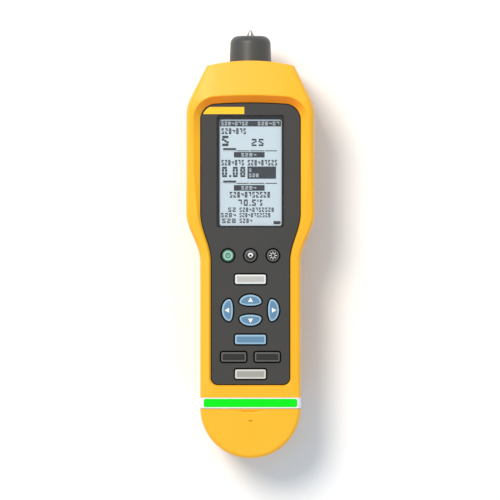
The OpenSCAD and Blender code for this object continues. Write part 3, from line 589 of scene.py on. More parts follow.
def rear_case_mesh():
    bay = block(-bay_w / 2 - bay_wall, bay_w / 2 + bay_wall, y_bay_end - bay_wall, y_bay_top + bay_wall,
                -over, bay_top_z + bay_wall)
    hollow = cut(inner_back(wall), bay)
    for x, y in screw_places:
        hollow = cut(hollow, rod_z(x, y, well_boss_r, -over, parting_z + 3 * over, boss_turns))
    for y in latches:
        hollow = cut(hollow, rod_z(0, y, latch_boss_r, -over, parting_z + 3 * over, boss_turns))
    seat = cut(door_prism(gap + 2 * wall), inner_back(wall + gap + seat_t, door_rows))
    hollow = cut(hollow, seat)
    mesh = cut(common(outer_back(), case_bounds(0, parting_z + over)), hollow)
    mesh = cut(mesh, block(-bay_w / 2, bay_w / 2, y_bay_end, y_bay_top, -over, bay_top_z))
    mesh = cut(mesh, cut(door_prism(gap), inner_back(wall + gap, door_rows)))
    for y in latches:
        floor = latch_floor(y)
        mesh = cut(mesh, rod_z(0, y, latch_boss_r + gap, -over, floor + latch_boss_h + gap))
        mesh = cut(mesh, rod_z(0, y, latch_r + gap, -over / 2, floor + latch_l + gap))
    for x, y in screw_places:
        mesh = cut(mesh, rod_z(x, y, well_r, -over, screw_seat_z))
        mesh = cut(mesh, rod_z(x, y, screw_r + gap, -over / 2, parting_z + over))
    eyes = [rod_y(s * eye_side, eye_z, r + fit, y_top - end_wall - over, y_top + over)
            for s, r in ((-1, ir_r), (1, torch_r))]
    return cut(mesh, nose_hole(), seam_groove(), *eyes)


def battery_door_mesh():
    above_floor = block(-head_w, head_w, y_case, y_top, 0, case_h)
    mesh = cut(common(outer_back(door_rows), door_prism(0), above_floor), inner_back(wall, door_rows))
    for y in latches:
        floor = latch_floor(y)
        mesh = join(mesh, rod_z(0, y, latch_boss_r, floor + latch_head_h / 2, floor + latch_boss_h))
        mesh = cut(mesh, rod_z(0, y, latch_head_r + gap, -over, floor + fit + latch_head_h))
        mesh = cut(mesh, rod_z(0, y, latch_r + gap, -over / 2, parting_z))
    return mesh


# End cap, status band and hinge
band_z = rim_z(0, y_case)
lens_from_side = 2.3
lens_w = grip_w - 2 * lens_from_side
lens_l = 4.5
lens_r = 0.9
lens_under = 0.6
hinge_r = 1.9
hinge_z = 2.4
y_hinge = y_band - hinge_r
pin_r = 0.8
pin_fit = 0.05
knuckle_half = 5.7
knuckle_out = 12.0
knuckle_clear = 3.2
notch_w = 17.2
notch_l = 1.9
notch_from_edge = 0.9
scoop_r = 45.0
mark_from_band = 6.9
mark_d = 0.3
mark_w = 3.2
cap_turns = 120
scoop_turns = 160
scoop_n = 40


def band_edge(t):
    return [(grip_w / 2 - d - t, z - (t if z > parting_z else 0)) for d, z in edge_points(y_case, band_z)]


def heel_point(t, u):
    low = max(parting_z - (parting_z + back_sink) * back_share(u), 0)
    return ((grip_w / 2 - t) * u, low + t * back_share(u))


def band_profile(t):
    edge = band_edge(t)
    return edge + [(-x, z) for x, z in reversed(edge)] + [heel_point(t, u) for u in back_us[1:-1]]


def cap_profile(t):
    under = [heel_point(t, u) for u in reversed(back_us[back_n:-1])]
    return [(0, band_z - t)] + band_edge(t)[::-1] + under


def along_y(profile, y0, y1):
    return skin([[(x, y, z) for x, z in profile] for y in (y0, y1)])


def turned_z(profile, x, y, turns=96):
    """Turns a profile of radius and height round an upright line."""
    angles = [2 * pi * (k + 0.5) / turns for k in range(turns)]
    return skin([[(x + r * cos(a), y + r * sin(a), z) for r, z in profile] for a in angles], loop=True)


def turned_y(profile, z, turns=96):
    """Turns a profile of radius and place round the line of the nose."""
    angles = [2 * pi * k / turns for k in range(turns)]
    return skin([[(r * cos(a), y, z + r * sin(a)) for r, y in profile] for a in angles], loop=True)


def thumb_scoop():
    """A shallow round hollow that is deepest at the edge of the cap."""
    rim_r = ((notch_w / 2) ** 2 + notch_l ** 2) / (2 * notch_l)
    centre_z = band_z + sqrt(scoop_r ** 2 - rim_r ** 2)
    profile = [(r, centre_z - sqrt(scoop_r ** 2 - r ** 2)) for r in steps(0, rim_r + over, scoop_n, True)]
    profile += [(rim_r + over, band_z + over), (0, band_z + over)]
    y_notch = y_band - gap - notch_from_edge
    bowl = turned_z(profile, 0, y_notch - notch_l + rim_r, scoop_turns)
    return common(bowl, block(-head_w, head_w, y_end, y_notch, parting_z, case_h))


def cap_mark():
    """A flat mark that points to the end."""
    y = y_band - mark_from_band
    return [(-mark_w / 2, y + mark_w / 9), (0, y - mark_w / 5), (mark_w / 2, y + mark_w / 9)]


def end_cap_mesh():
    body = turned_z(cap_profile(0), 0, y_band, cap_turns)
    inside = turned_z(cap_profile(wall), 0, y_band, cap_turns)
    mesh = common(body, block(-grip_w, grip_w, y_end - over, y_band - gap, -over, case_h + over))
    mesh = cut(mesh, inside, thumb_scoop())
    mesh = cut(mesh, block(-grip_w, grip_w, y_hinge - knuckle_clear, y_band + grip_w, -over,
                           hinge_z + hinge_r + 3 * gap))
    mesh = cut(mesh, prism(cap_mark(), band_z - mark_d, band_z + over))
    knuckle = join(rod_x(y_hinge, hinge_z, hinge_r, -knuckle_half, knuckle_half),
                   block(-knuckle_half, knuckle_half, y_hinge - knuckle_clear - over, y_hinge,
                         hinge_z - hinge_r, hinge_z + hinge_r))
    return join(mesh, cut(knuckle, rod_x(y_hinge, hinge_z, pin_r + pin_fit, -head_w, head_w)))


def status_band_mesh():
    hollow = along_y(band_profile(wall), y_band - over, y_case + over)
    mesh = cut(along_y(band_profile(0), y_band, y_case), hollow)
    for s in (-1, 1):
        x0, x1 = sorted((s * (knuckle_half + gap), s * knuckle_out))
        low = hinge_z - hinge_r
        mesh = join(mesh, rod_x(y_hinge, hinge_z, hinge_r, x0, x1))
        mesh = join(mesh, block(x0, x1, y_hinge, y_band + fit / 10, low, hinge_z + hinge_r))
        mesh = join(mesh, block(x0, x1, y_hinge, y_band + wall / 2, low, wall))
    mesh = cut(mesh, rod_x(y_hinge, hinge_z, pin_r + pin_fit, -head_w, head_w))
    opening = rounded_rectangle(0, (y_band + y_case) / 2, lens_w + 2 * fit, lens_l + 2 * fit, lens_r + fit)
    return cut(mesh, prism(opening, parting_z, case_h))


# Flat plates with holes and rounded edges

def turns_left(outline):
    return sum(a[0] * b[1] - b[0] * a[1] for a, b in zip(outline, outline[1:] + outline[:1])) > 0


def plate(outlines, z0, z1, bevel):
    """A plate between two heights. The first outline is the edge and the others are holes in it."""
    shape = bpy.data.curves.new("plate", "CURVE")
    shape.dimensions = "2D"
    shape.fill_mode = "BOTH"
    for order, outline in enumerate(outlines):
        turned = outline if turns_left(outline) == (order == 0) else outline[::-1]
        line = shape.splines.new("POLY")
        line.points.add(len(turned) - 1)
        for point, (x, y) in zip(line.points, turned):
            point.co = (x, y, 0, 1)
        line.use_cyclic_u = True
    shape.extrude = (z1 - z0) / 2 - bevel
    shape.bevel_depth = bevel
    shape.bevel_resolution = 3
    shape.offset = -bevel
    holder = bpy.data.objects.new("plate", shape)
    link_object(holder)
    bpy.context.view_layer.update()
    mesh = bpy.data.meshes.new_from_object(holder.evaluated_get(bpy.context.evaluated_depsgraph_get()))
    bpy.data.objects.remove(holder)
    mesh.transform(Matrix.Scale(MM, 4) @ Matrix.Translation((0, 0, (z0 + z1) / 2)))
    return welded(mesh)


def merged(*meshes):
    """One mesh that holds several, each as it is."""
    work = bmesh.new()
    for mesh in meshes:
        work.from_mesh(mesh)
    mesh = bpy.data.meshes.new("merged")
    work.to_mesh(mesh)
    work.free()
    return mesh


# Sizes and outlines of the keys
round_r = 3.4
round_turns = 64
round_pitch = 12.6
wide_w = 17.3
side_w = 14.0
bar_h = 5.3
side_pitch = 9.4
arrow_l = 12.3
arrow_h = 6.2
pad_up = 5.6
pad_side = 12.9
key_gap = 0.7
key_rise = 0.9
bar_r = 0.9
flange_w = 0.8
flange_t = 1.0
stem_r = 1.6
stem_h = 0.4
round_up = 72.5
measure_up = 59.2
pad_mid_up = 41.9
enter_up = 25.5
save_up = 15.7
setup_up = 6.1
least_corner_r = 0.3
arrow_full_share = 0.68
arrow_turns = {"key_up": 0, "key_left": 90, "key_down": 180, "key_right": 270}
key_places = {
    "key_power": (-round_pitch, round_up),
    "key_torch": (0, round_up),
    "key_backlight": (round_pitch, round_up),
    "key_measure": (0, measure_up),
    "key_up": (0, pad_mid_up + pad_up),
    "key_down": (0, pad_mid_up - pad_up),
    "key_left": (-pad_side, pad_mid_up),
    "key_right": (pad_side, pad_mid_up),
    "key_enter": (0, enter_up),
    "key_save": (-side_pitch, save_up),
    "key_memory": (side_pitch, save_up),
    "key_setup": (0, setup_up),
}
key_top = face_z + key_rise
key_low = seat_z - gap - flange_t


def turned_points(points, x, y, degrees):
    a = radians(degrees)
    return [(x + px * cos(a) - py * sin(a), y + px * sin(a) + py * cos(a)) for px, py in points]


def arrow_shape(grow, n=60):
    """Two half ellipses: a full one on the outside and a flat one on the inside."""
    points = []
    for k in range(n):
        a = 2 * pi * k / n
        share = arrow_full_share if a < pi else 1 - arrow_full_share
        points.append(((arrow_l / 2 + grow) * cos(a),
                       (arrow_h * share + grow) * sin(a) - arrow_h * (arrow_full_share - 0.5)))
    return points


def key_outline(name, grow):
    x, up = key_places[name]
    y = y_fascia_end + up
    if name in arrow_turns:
        return turned_points(arrow_shape(grow), x, y, arrow_turns[name])
    if up == round_up:
        return circle(x, y, round_r + grow, round_turns)
    w = side_w if name in ("key_save", "key_memory") else wide_w
    return rounded_rectangle(x, y, w + 2 * grow, bar_h + 2 * grow, max(bar_r + grow, least_corner_r))


def arc_band(x, y, r0, r1, start, end, n=16):
    """A part of a ring, from one angle to another, as an outline."""
    angles = steps(radians(start), radians(end), n, True)
    return ([(x + r1 * cos(a), y + r1 * sin(a)) for a in angles]
            + [(x + r0 * cos(a), y + r0 * sin(a)) for a in reversed(angles)])


# Looks of a surface, shared by many materials
cloud_low = 0.35
cloud_high = 0.65


def link(tree, source, target):
    tree.links.new(source, target)


def noise(tree, coords, scale, detail, roughness=0.5):
    node = tree.nodes.new("ShaderNodeTexNoise")
    node.inputs["Detail"].default_value = detail
    node.inputs["Roughness"].default_value = roughness
    link(tree, coords, node.inputs["Vector"])
    link(tree, scale, node.inputs["Scale"])
    return node


def math(tree, how, *values):
    """Works out one value. Numbers are set on the sockets, and outputs of other nodes are linked."""
    node = tree.nodes.new("ShaderNodeMath")
    node.operation = how
    for socket, value in zip(node.inputs, values):
        if isinstance(value, (int, float)):
            socket.default_value = value
        else:
            link(tree, value, socket)
    return node.outputs[0]


def map_range(tree, value, low, high):
    """Turns a value between two limits into a share from 0 to 1, or into a range that is set later."""
    node = tree.nodes.new("ShaderNodeMapRange")
    node.inputs["From Min"].default_value = low
    node.inputs["From Max"].default_value = high
    link(tree, value, node.inputs["Value"])
    return node


def blend(tree, share, a, b):
    """Mixes two colours by a share."""
    node = tree.nodes.new("ShaderNodeMix")
    node.data_type = "RGBA"
    node.inputs["A"].default_value = a
    node.inputs["B"].default_value = b
    link(tree, share, node.inputs["Factor"])
    return node.outputs["Result"]


def surface_group():
    """A moulded or printed surface: grain, faint cloudy tint, and the polish that hands leave."""
    tree = bpy.data.node_groups.new("surface", "ShaderNodeTree")
    sockets = [("Colour", "NodeSocketColor", (0.5, 0.5, 0.5, 1)), ("Tint Change", "NodeSocketFloat", 0.06),
               ("Grain Scale", "NodeSocketFloat", 3000.0), ("Cloud Scale", "NodeSocketFloat", 90.0),
               ("Rough Low", "NodeSocketFloat", 0.4), ("Rough High", "NodeSocketFloat", 0.6)]
    for name, kind, value in sockets:
        tree.interface.new_socket(name, in_out="INPUT", socket_type=kind).default_value = value
    results = {"Colour": "NodeSocketColor", "Roughness": "NodeSocketFloat", "Height": "NodeSocketFloat"}
    for name, kind in results.items():
        tree.interface.new_socket(name, in_out="OUTPUT", socket_type=kind)
    inlet = tree.nodes.new("NodeGroupInput")
    outlet = tree.nodes.new("NodeGroupOutput")
    coords = tree.nodes.new("ShaderNodeTexCoord").outputs["Object"]
    grain = noise(tree, coords, inlet.outputs["Grain Scale"], 3)
    cloud = noise(tree, coords, inlet.outputs["Cloud Scale"], 4, 0.6)
    both = math(tree, "ADD", grain.outputs["Fac"], cloud.outputs["Fac"])
    centred = math(tree, "SUBTRACT", both, 1.0)
    tint = math(tree, "MULTIPLY_ADD", centred, inlet.outputs["Tint Change"], 1.0)
    shaded = tree.nodes.new("ShaderNodeVectorMath")
    shaded.operation = "SCALE"
    link(tree, inlet.outputs["Colour"], shaded.inputs[0])
    link(tree, tint, shaded.inputs["Scale"])
    rough = map_range(tree, cloud.outputs["Fac"], cloud_low, cloud_high)
    link(tree, inlet.outputs["Rough Low"], rough.inputs["To Min"])
    link(tree, inlet.outputs["Rough High"], rough.inputs["To Max"])
    link(tree, shaded.outputs[0], outlet.inputs["Colour"])
    link(tree, rough.outputs[0], outlet.inputs["Roughness"])
    link(tree, grain.outputs["Fac"], outlet.inputs["Height"])
    return tree


SURFACE = surface_group()


def finish(name, colour, rough=(0.45, 0.6), grain=3000, depth=0.02, cloud=90, change=0.06, metal=0,
           gloss=0.5):
    """A material with a colour, a range of roughness and a grain of a depth in millimetres."""
    material = bpy.data.materials.new(name)
    material.use_nodes = True
    tree = material.node_tree
    shader = tree.nodes["Principled BSDF"]
    group = tree.nodes.new("ShaderNodeGroup")
    group.node_tree = SURFACE
    group.inputs["Colour"].default_value = (*colour, 1)
    group.inputs["Tint Change"].default_value = change
    group.inputs["Grain Scale"].default_value = grain
    group.inputs["Cloud Scale"].default_value = cloud
    group.inputs["Rough Low"].default_value = rough[0]
    group.inputs["Rough High"].default_value = rough[1]
    bump = tree.nodes.new("ShaderNodeBump")
    bump.inputs["Strength"].default_value = 1
    bump.inputs["Distance"].default_value = depth * MM
    link(tree, group.outputs["Height"], bump.inputs["Height"])
    link(tree, group.outputs["Colour"], shader.inputs["Base Color"])
    link(tree, group.outputs["Roughness"], shader.inputs["Roughness"])
    link(tree, bump.outputs["Normal"], shader.inputs["Normal"])
    shader.inputs["Metallic"].default_value = metal
    shader.inputs["Specular IOR Level"].default_value = gloss
    return material


def clear_finish(name, colour, alpha, rough):
    """A clear cover that lets the light through and shows a faint sheen."""
    material = finish(name, colour, rough, 400, 0.002, change=0.0)
    material.node_tree.nodes["Principled BSDF"].inputs["Alpha"].default_value = alpha
    return material


lit_gloss = 0.12


def glowing_finish(name, colour, light, rough):
    material = finish(name, colour, rough, 1500, 0.004, change=0.02)
    shader = material.node_tree.nodes["Principled BSDF"]
    shader.inputs["Emission Color"].default_value = (*light, 1)
    shader.inputs["Emission Strength"].default_value = 1
    shader.inputs["Specular IOR Level"].default_value = lit_gloss
    return material


yellow = finish("yellow_casing", (0.98, 0.455, 0.008), (0.34, 0.42), 4200, 0.01, 60, 0.04, gloss=0.42)
grey_fascia = finish("grey_fascia", (0.038, 0.038, 0.037), (0.5, 0.65), 5200, 0.03, 50, 0.35, gloss=0.3)
mark_yellow = finish("yellow_print", (0.94, 0.55, 0.02), (0.5, 0.6), 3000, 0.003, gloss=0.3)
deep_amber = finish("deep_amber", (0.55, 0.22, 0.004), (0.5, 0.6), 3000, 0.003, gloss=0.2)
# Black print round the display, also used as painted shade in the gap round the fascia
black_print = finish("black_print", (0.006, 0.006, 0.007), (0.3, 0.4), 2000, 0.002, gloss=0.1)
glass = clear_finish("display_cover", (0.8, 0.85, 0.88), 0.03, (0.06, 0.1))
screen = finish("screen", (0.54, 0.63, 0.685), (0.4, 0.5), 2500, 0.002, 120, 0.02, gloss=0.2)
ink = finish("screen_ink", (0.022, 0.027, 0.034), (0.4, 0.5), 2500, 0.002, gloss=0.05)
faint_ink = finish("screen_grey", (0.40, 0.46, 0.51), (0.4, 0.5), 2500, 0.002, gloss=0.2)
white_case = finish("white_casing", (0.88, 0.84, 0.86), (0.4, 0.5), 3500, 0.008, gloss=0.4)
green_light = glowing_finish("green_light", (0.0, 0.12, 0.004), (0.0, 0.78, 0.005), (0.3, 0.4))
diffuser = finish("frosted_strip", (0.78, 0.82, 0.80), (0.5, 0.6), 2600, 0.01)
rubber = finish("dark_rubber", (0.046, 0.050, 0.048), (0.36, 0.46), 3600, 0.015, gloss=0.5)
mat_rubber = finish("key_mat_rubber", (0.005, 0.005, 0.005), (0.6, 0.75), 3000, 0.02, gloss=0.1)
steel = finish("brushed_steel", (0.35, 0.35, 0.34), (0.3, 0.45), 2400, 0.01, metal=1)
brass = finish("turned_brass", (0.78, 0.58, 0.26), (0.25, 0.4), 2200, 0.01, metal=1)
board = finish("solder_mask", (0.015, 0.11, 0.045), (0.35, 0.5), 1800, 0.01)
chip = finish("chip_epoxy", (0.02, 0.02, 0.022), (0.5, 0.65), 3800, 0.01)
shield = finish("tinned_shield", (0.66, 0.66, 0.64), (0.3, 0.45), 1600, 0.006, metal=1)
flex = finish("amber_film", (0.55, 0.24, 0.04), (0.3, 0.45), 1500, 0.004)
foam = finish("black_foam", (0.02, 0.02, 0.02), (0.8, 0.95), 5200, 0.06)
panel = finish("port_panel_black", (0.018, 0.018, 0.019), (0.45, 0.6), 3400, 0.012)
ir_glass = finish("dark_lens", (0.05, 0.004, 0.006), (0.05, 0.12), 900, 0.001)
clear_lens = finish("clear_lens", (0.72, 0.78, 0.8), (0.05, 0.12), 900, 0.001)
led = finish("led_phosphor", (0.85, 0.72, 0.2), (0.3, 0.4), 2600, 0.004)
cell_wrap = finish("cell_sleeve", (0.03, 0.035, 0.05), (0.25, 0.4), 1600, 0.003)
# Key rims are lighter copies of the key colours that follow them: a painted highlight on the bevelled edges
key_rim_dark = finish("key_rim_dark", (0.095, 0.095, 0.095), (0.35, 0.5), 3600, 0.01)
key_dark = finish("key_dark", (0.022, 0.022, 0.022), (0.45, 0.6), 3600, 0.01, gloss=0.2)
key_rim_blue = finish("key_rim_blue", (0.30, 0.465, 0.60), (0.35, 0.5), 3600, 0.008)
key_blue = finish("key_blue", (0.115, 0.235, 0.365), (0.45, 0.6), 3600, 0.008, gloss=0.3)
key_rim_white = finish("key_rim_white", (0.74, 0.74, 0.71), (0.45, 0.6), 3600, 0.008)
key_white = finish("key_white", (0.46, 0.46, 0.42), (0.45, 0.6), 3600, 0.008)
key_rim_grey = finish("key_rim_grey", (0.60, 0.59, 0.54), (0.45, 0.6), 3600, 0.008)
key_grey = finish("key_grey", (0.33, 0.325, 0.285), (0.45, 0.6), 3600, 0.008)
key_green = finish("key_green", (0.035, 0.125, 0.085), (0.45, 0.6), 3600, 0.008)
key_mint = finish("key_mint", (0.26, 0.52, 0.39), (0.45, 0.6), 3600, 0.006)
dark_green_print = finish("dark_green_print", (0.008, 0.05, 0.035), (0.45, 0.55), 3000, 0.003, gloss=0.3)
white_print = finish("white_print", (0.9, 0.9, 0.9), (0.45, 0.55), 3000, 0.003)
grey_print = finish("grey_print", (0.28, 0.28, 0.28), (0.45, 0.55), 3000, 0.003)


# Painted shade: a deeper orange laid on the rim faces that turn away from the light, just above the seat of
# the fascia
painted_shade_yellow = (0.98, 0.285, 0.0, 1)
shade_facing_start = -0.15
shade_facing_full = -0.65


def rim_painted_shade_finish():
    """The yellow of the casing with painted shade: a deeper orange on the rim faces that drop to the upper
    edge of the fascia and turn away from the light.
    """
    material = yellow.copy()
    material.name = "yellow_rim"
    tree = material.node_tree
    group = next(node for node in tree.nodes if node.type == "GROUP")
    coords = tree.nodes.new("ShaderNodeTexCoord")
    facing = tree.nodes.new("ShaderNodeSeparateXYZ")
    link(tree, coords.outputs["Normal"], facing.inputs[0])
    place = tree.nodes.new("ShaderNodeSeparateXYZ")
    link(tree, coords.outputs["Object"], place.inputs[0])
    turned_from_light = map_range(tree, facing.outputs["Y"], shade_facing_start, shade_facing_full)
    high = map_range(tree, place.outputs["Z"], (seat_z - over) * MM, seat_z * MM)
    both = math(tree, "MULTIPLY", turned_from_light.outputs[0], high.outputs[0])
    shade = blend(tree, both, group.inputs["Colour"].default_value, painted_shade_yellow)
    link(tree, shade, group.inputs["Colour"])
    return material


slot_finishes = {
    "case": yellow, "fascia": grey_fascia, "window": glass, "lcd": screen, "diffuser": diffuser,
    "green_lens": green_light, "board": board, "chip": chip, "shield": shield, "flex": flex, "foam": foam,
    "mat": mat_rubber, "key_green": key_green, "key_dark": key_dark, "key_blue": key_blue,
    "key_white": key_white, "key_grey": key_grey, "panel": panel, "boot": rubber, "steel": steel,
    "brass": brass, "ir_glass": ir_glass, "clear": clear_lens, "led": led, "cell": cell_wrap,
}
slot_of_node = {part["node"]: part["material_slot"] for part in frame["record"]["subparts"]}
for name, node in nodes.items():
    for material_slot in node.material_slots:
        material_slot.material = slot_finishes[slot_of_node[name]]


# Case, end cap and status band
case_angle = 28
round_angle = 35
flat_edge_r = 0.2
area_weight = 100


def put_cut(name, mesh, material, body, angle=case_angle):
    """Places a cut mesh that stands for the node of its name, with flat faces kept flat."""
    work = bmesh.new()
    work.from_mesh(mesh)
    bmesh.ops.dissolve_degenerate(work, edges=work.edges, dist=sliver_l)
    bmesh.ops.dissolve_limit(work, angle_limit=radians(flat_angle), verts=work.verts, edges=work.edges)
    work.to_mesh(mesh)
    work.free()
    smooth_shade(mesh, angle)
    piece = put(name + "_shell", mesh, material, body, [name])
    even = piece.modifiers.new("even", "WEIGHTED_NORMAL")
    even.keep_sharp = True
    even.weight = area_weight
    return piece


put_cut("front_case", front_case_mesh(), rim_painted_shade_finish(), "housing")
put_cut("rear_case", rear_case_mesh(), yellow, "housing")
put_cut("battery_door", battery_door_mesh(), yellow, "door")
put_cut("end_cap", end_cap_mesh(), yellow, "cap")
put("cap_mark", plate([cap_mark()], band_z - mark_d, band_z - mark_d / 2, 0), deep_amber, "cap")
put_cut("status_band", status_band_mesh(), white_case, "housing")
lens_mesh = plate([rounded_rectangle(0, (y_band + y_case) / 2, lens_w, lens_l, lens_r)],
                  band_z - lens_under - wall, band_z + fit, flat_edge_r)
put_cut("status_lens", lens_mesh, green_light, "housing")


# Fascia, window and the print round the display
y_window = (node_low("display_window").y + node_high("display_window").y) / 2
window_w = 37.6
window_l = node_high("display_window").y - node_low("display_window").y
window_low = node_low("display_window").z
window_top = node_high("display_window").z
window_r = 1.2
opening_w = 34.8
opening_low = 10.2
opening_high = 69.8
print_t = 0.05
gap_shade_w = 0.4
fascia_edge_r = 0.18
window_edge_r = 0.12
label_from_edge = 0.9
label_low = 72.7
label_high = 76.7
label_end = -3.5
label_t = 0.04


def window_outline(grow):
    return rounded_rectangle(0, y_window, window_w + 2 * grow, window_l + 2 * grow, window_r + grow)


def opening_outline():
    middle = (opening_low + opening_high) / 2
    return rounded_rectangle(0, middle, opening_w, opening_high - opening_low, window_r)


def drawn_in(outline, distance):
    """The same outline, moved inwards."""
    points = []
    for a, b, c in zip(outline[-1:] + outline[:-1], outline, outline[1:] + outline[:1]):
        along = Vector((c[0] - a[0], c[1] - a[1])).normalized()
        points.append((b[0] - along.y * distance, b[1] + along.x * distance))
    return points


fascia_edge = drawn_in(fascia_loop if turns_left(fascia_loop) else fascia_loop[::-1], gap_shade_w)
key_holes = [key_outline(name, key_gap) for name in key_places]
wide_holes = [key_outline(name, key_gap + fit) for name in key_places]
upper_plate = plate([fascia_edge, window_outline(fit)] + wide_holes, window_low, face_z, fascia_edge_r)
lower_plate = plate([fascia_loop, opening_outline()] + key_holes, seat_z, window_low + fit / 10, 0)
put_cut("fascia", join(upper_plate, lower_plate), grey_fascia, "housing")
window_pane = plate([window_outline(0)], window_low + print_t, window_top, window_edge_r)
put_cut("display_window", window_pane, glass, "housing")
border = plate([window_outline(0), opening_outline()], window_low, window_low + print_t, 0)
put("display_border", border, black_print, "housing")

# Painted shade: a black ring laid in the gap round the fascia, so that the gap looks as dark as a shadowed
# groove
gap_shade_ring = plate([fascia_loop, fascia_edge], window_low + fit / 2, window_low + 4 * fit, 0)
put("fascia_seal", gap_shade_ring, black_print, "housing")

label_r = fascia_r - label_from_edge
label_angles = [asin((y - corner_y) / label_r) for y in (label_high, label_low)]
label = [(-corner_x - label_r * cos(a), corner_y + label_r * sin(a)) for a in steps(*label_angles, 8, True)]
label += [(label_end, label_low), (label_end, label_high)]
put("plain_label", plate([label], face_z, face_z + label_t, label_t / 4), mark_yellow, "housing")


# What the screen shows: rows of plain digits, scales and boxes
screen_z = node_high("lcd_panel").z
ink_t = 0.03


def rectangle(x0, x1, y0, y1):
    return [(x0, y0), (x1, y0), (x1, y1), (x0, y1)]


def plates(outlines, z0, z1, bevel=0):
    return merged(*[plate([outline], z0, z1, bevel) for outline in outlines])


def screen_marks(name, outlines, material, layer=0):
    low = screen_z + layer * ink_t
    put(name, plates(outlines, low, low + ink_t), material, "housing")


segments = {"0": "abcdef", "2": "abged", "4": "fgbc", "5": "afgcd", "7": "abc", "8": "abcdefg"}
segment_gap = 0.12
sign_gap = 1.1
point_share = 1.6
point_shift = 0.1
row_digits = "52840752"
row_digit_w = 0.76
row_stroke = 0.24


def digit(sign, x, y, w, h, t):
    """The bars of a digit, with its lower left corner at x, y."""
    apart = t * segment_gap
    half = h / 2
    bars = {
        "a": rectangle(x + apart, x + w - apart, y + h - t, y + h),
        "d": rectangle(x + apart, x + w - apart, y, y + t),
        "g": rectangle(x + t, x + w - t, y + half - t / 2, y + half + t / 2),
        "f": rectangle(x, x + t, y + half + apart, y + h - t - apart),
        "b": rectangle(x + w - t, x + w, y + half + apart, y + h - t - apart),
        "e": rectangle(x, x + t, y + t + apart, y + half - apart),
        "c": rectangle(x + w - t, x + w, y + t + apart, y + half - apart),
    }
    return [bars[bar] for bar in segments[sign]]


def number(text, x, y, h, spread, stroke):
    """Digits and points in a row, with their width and their stroke as shares of the height."""
    outlines = []
    w = h * spread
    t = h * stroke
    for sign in text:
        if sign == ".":
            outlines.append(rectangle(x - t * point_shift, x + t * (1 - point_shift), y, y + t))
            x += t * point_share
        else:
            outlines += digit(sign, x, y, w, h, t)
            x += w + t * sign_gap
    return outlines


def digit_row(x0, x1, y0, y1, count):
    """Plain digits spread evenly between two ends."""
    pitch = (x1 - x0) / count
    outlines = []
    for k in range(count):
        sign = row_digits[k % len(row_digits)]
        outlines += digit(sign, x0 + k * pitch, y0, pitch * row_digit_w, y1 - y0, (y1 - y0) * row_stroke)
    return outlines


bar_w = 7.2
scale_l = 30.4
scale_x = -15.3
scale_parts = (-0.5, 8.0)
scale_gap = 0.5
line_h = 0.5
shade_h = 0.7
bar_top = 1.8
scale_places = (51.9, 33.7)


def scale_marks(y):
    """A measured bar on a scale of three stretches."""
    ends = [scale_x + bar_w, *scale_parts, scale_x + scale_l]
    lines = [rectangle(a + scale_gap / 2, b - scale_gap / 2, y, y + line_h) for a, b in zip(ends, ends[1:])]
    screen_marks("scale", lines, ink)
    screen_marks("scale_bar", [rectangle(scale_x, scale_x + bar_w, y + shade_h, y + bar_top)], ink)
    screen_marks("scale_shade", [rectangle(scale_x, scale_x + bar_w, y, y + shade_h)], faint_ink)


# Each box is its left, right, lower and upper edge
title_box = (-17.1, 17.1, 65.8, 69.0)
upper_result = (-9.3, 7.9, 48.4, 51.5)
unit_box = (-1.7, 14.3, 36.5, 43.4)
lower_result = (-9.3, 7.9, 29.8, 33.0)

# Each row is its left, right, lower and upper edge, and how many digits it has
pale_rows = (
    (-16.4, -1.0, 66.4, 68.5, 8),
    (4.0, 16.6, 66.4, 68.5, 6),
    (-5.2, 3.8, 49.0, 50.9, 4),
    (-5.2, 3.8, 30.5, 32.4, 4),
    (-0.9, 1.0, 40.4, 42.2, 1),
    (-0.9, 5.0, 37.4, 39.4, 3),
)
dark_rows = (
    (-16.3, -2.0, 61.5, 64.8, 7),
    (-16.3, -3.2, 43.9, 47.1, 7),
    (-1.6, 15.4, 43.9, 47.1, 9),
    (-11.7, 11.5, 25.9, 29.2, 11),
    (-12.6, -7.6, 17.9, 20.4, 2),
    (-6.2, 13.5, 17.9, 20.4, 11),
    (-16.6, -7.6, 14.9, 17.3, 4),
    (-6.2, 11.5, 14.9, 17.3, 11),
    (-16.0, -7.6, 11.7, 14.2, 3),
    (-6.2, 1.4, 11.7, 14.2, 4),
)
unit_row = (5.2, 7.2, 21.4, 24.8, 1)

# Each number is its digits, its left and lower edge, its height, and its width and stroke as shares
numbers = (
    ("5", -16.0, 54.8, 5.8, 0.66, 0.24),
    ("25", 0.6, 54.8, 4.1, 0.7, 0.23),
    ("0.08", -16.0, 37.4, 5.8, 0.5, 0.2),
    ("70.5", -7.0, 21.3, 3.6, 0.64, 0.23),
)
degree_x = 4.1
degree_y = 24.2
degree_r = 0.6
degree_turns = 24
battery_box = (12.9, 16.6, 11.0, 12.8)
battery_end = (16.7, 17.1, 11.5, 12.3)


def all_digits(rows, draw):
    return [outline for row in rows for outline in draw(*row)]


boxes = [rectangle(*edges) for edges in (title_box, upper_result, unit_box, lower_result)]
screen_marks("screen_boxes", boxes, ink)
screen_marks("screen_light_marks", all_digits(pale_rows, digit_row), faint_ink, 1)
screen_marks("screen_rows", all_digits(dark_rows, digit_row), ink)
screen_marks("screen_digits", all_digits(numbers, number), ink)
for y in scale_places:
    scale_marks(y)
degree_ring = [circle(degree_x, degree_y, r, degree_turns) for r in (degree_r, degree_r / 2)]
put("degree_mark", plate(degree_ring, screen_z, screen_z + ink_t, 0), ink, "housing")
screen_marks("unit_mark", digit_row(*unit_row), ink)
screen_marks("battery_mark", [rectangle(*battery_box), rectangle(*battery_end)], ink)
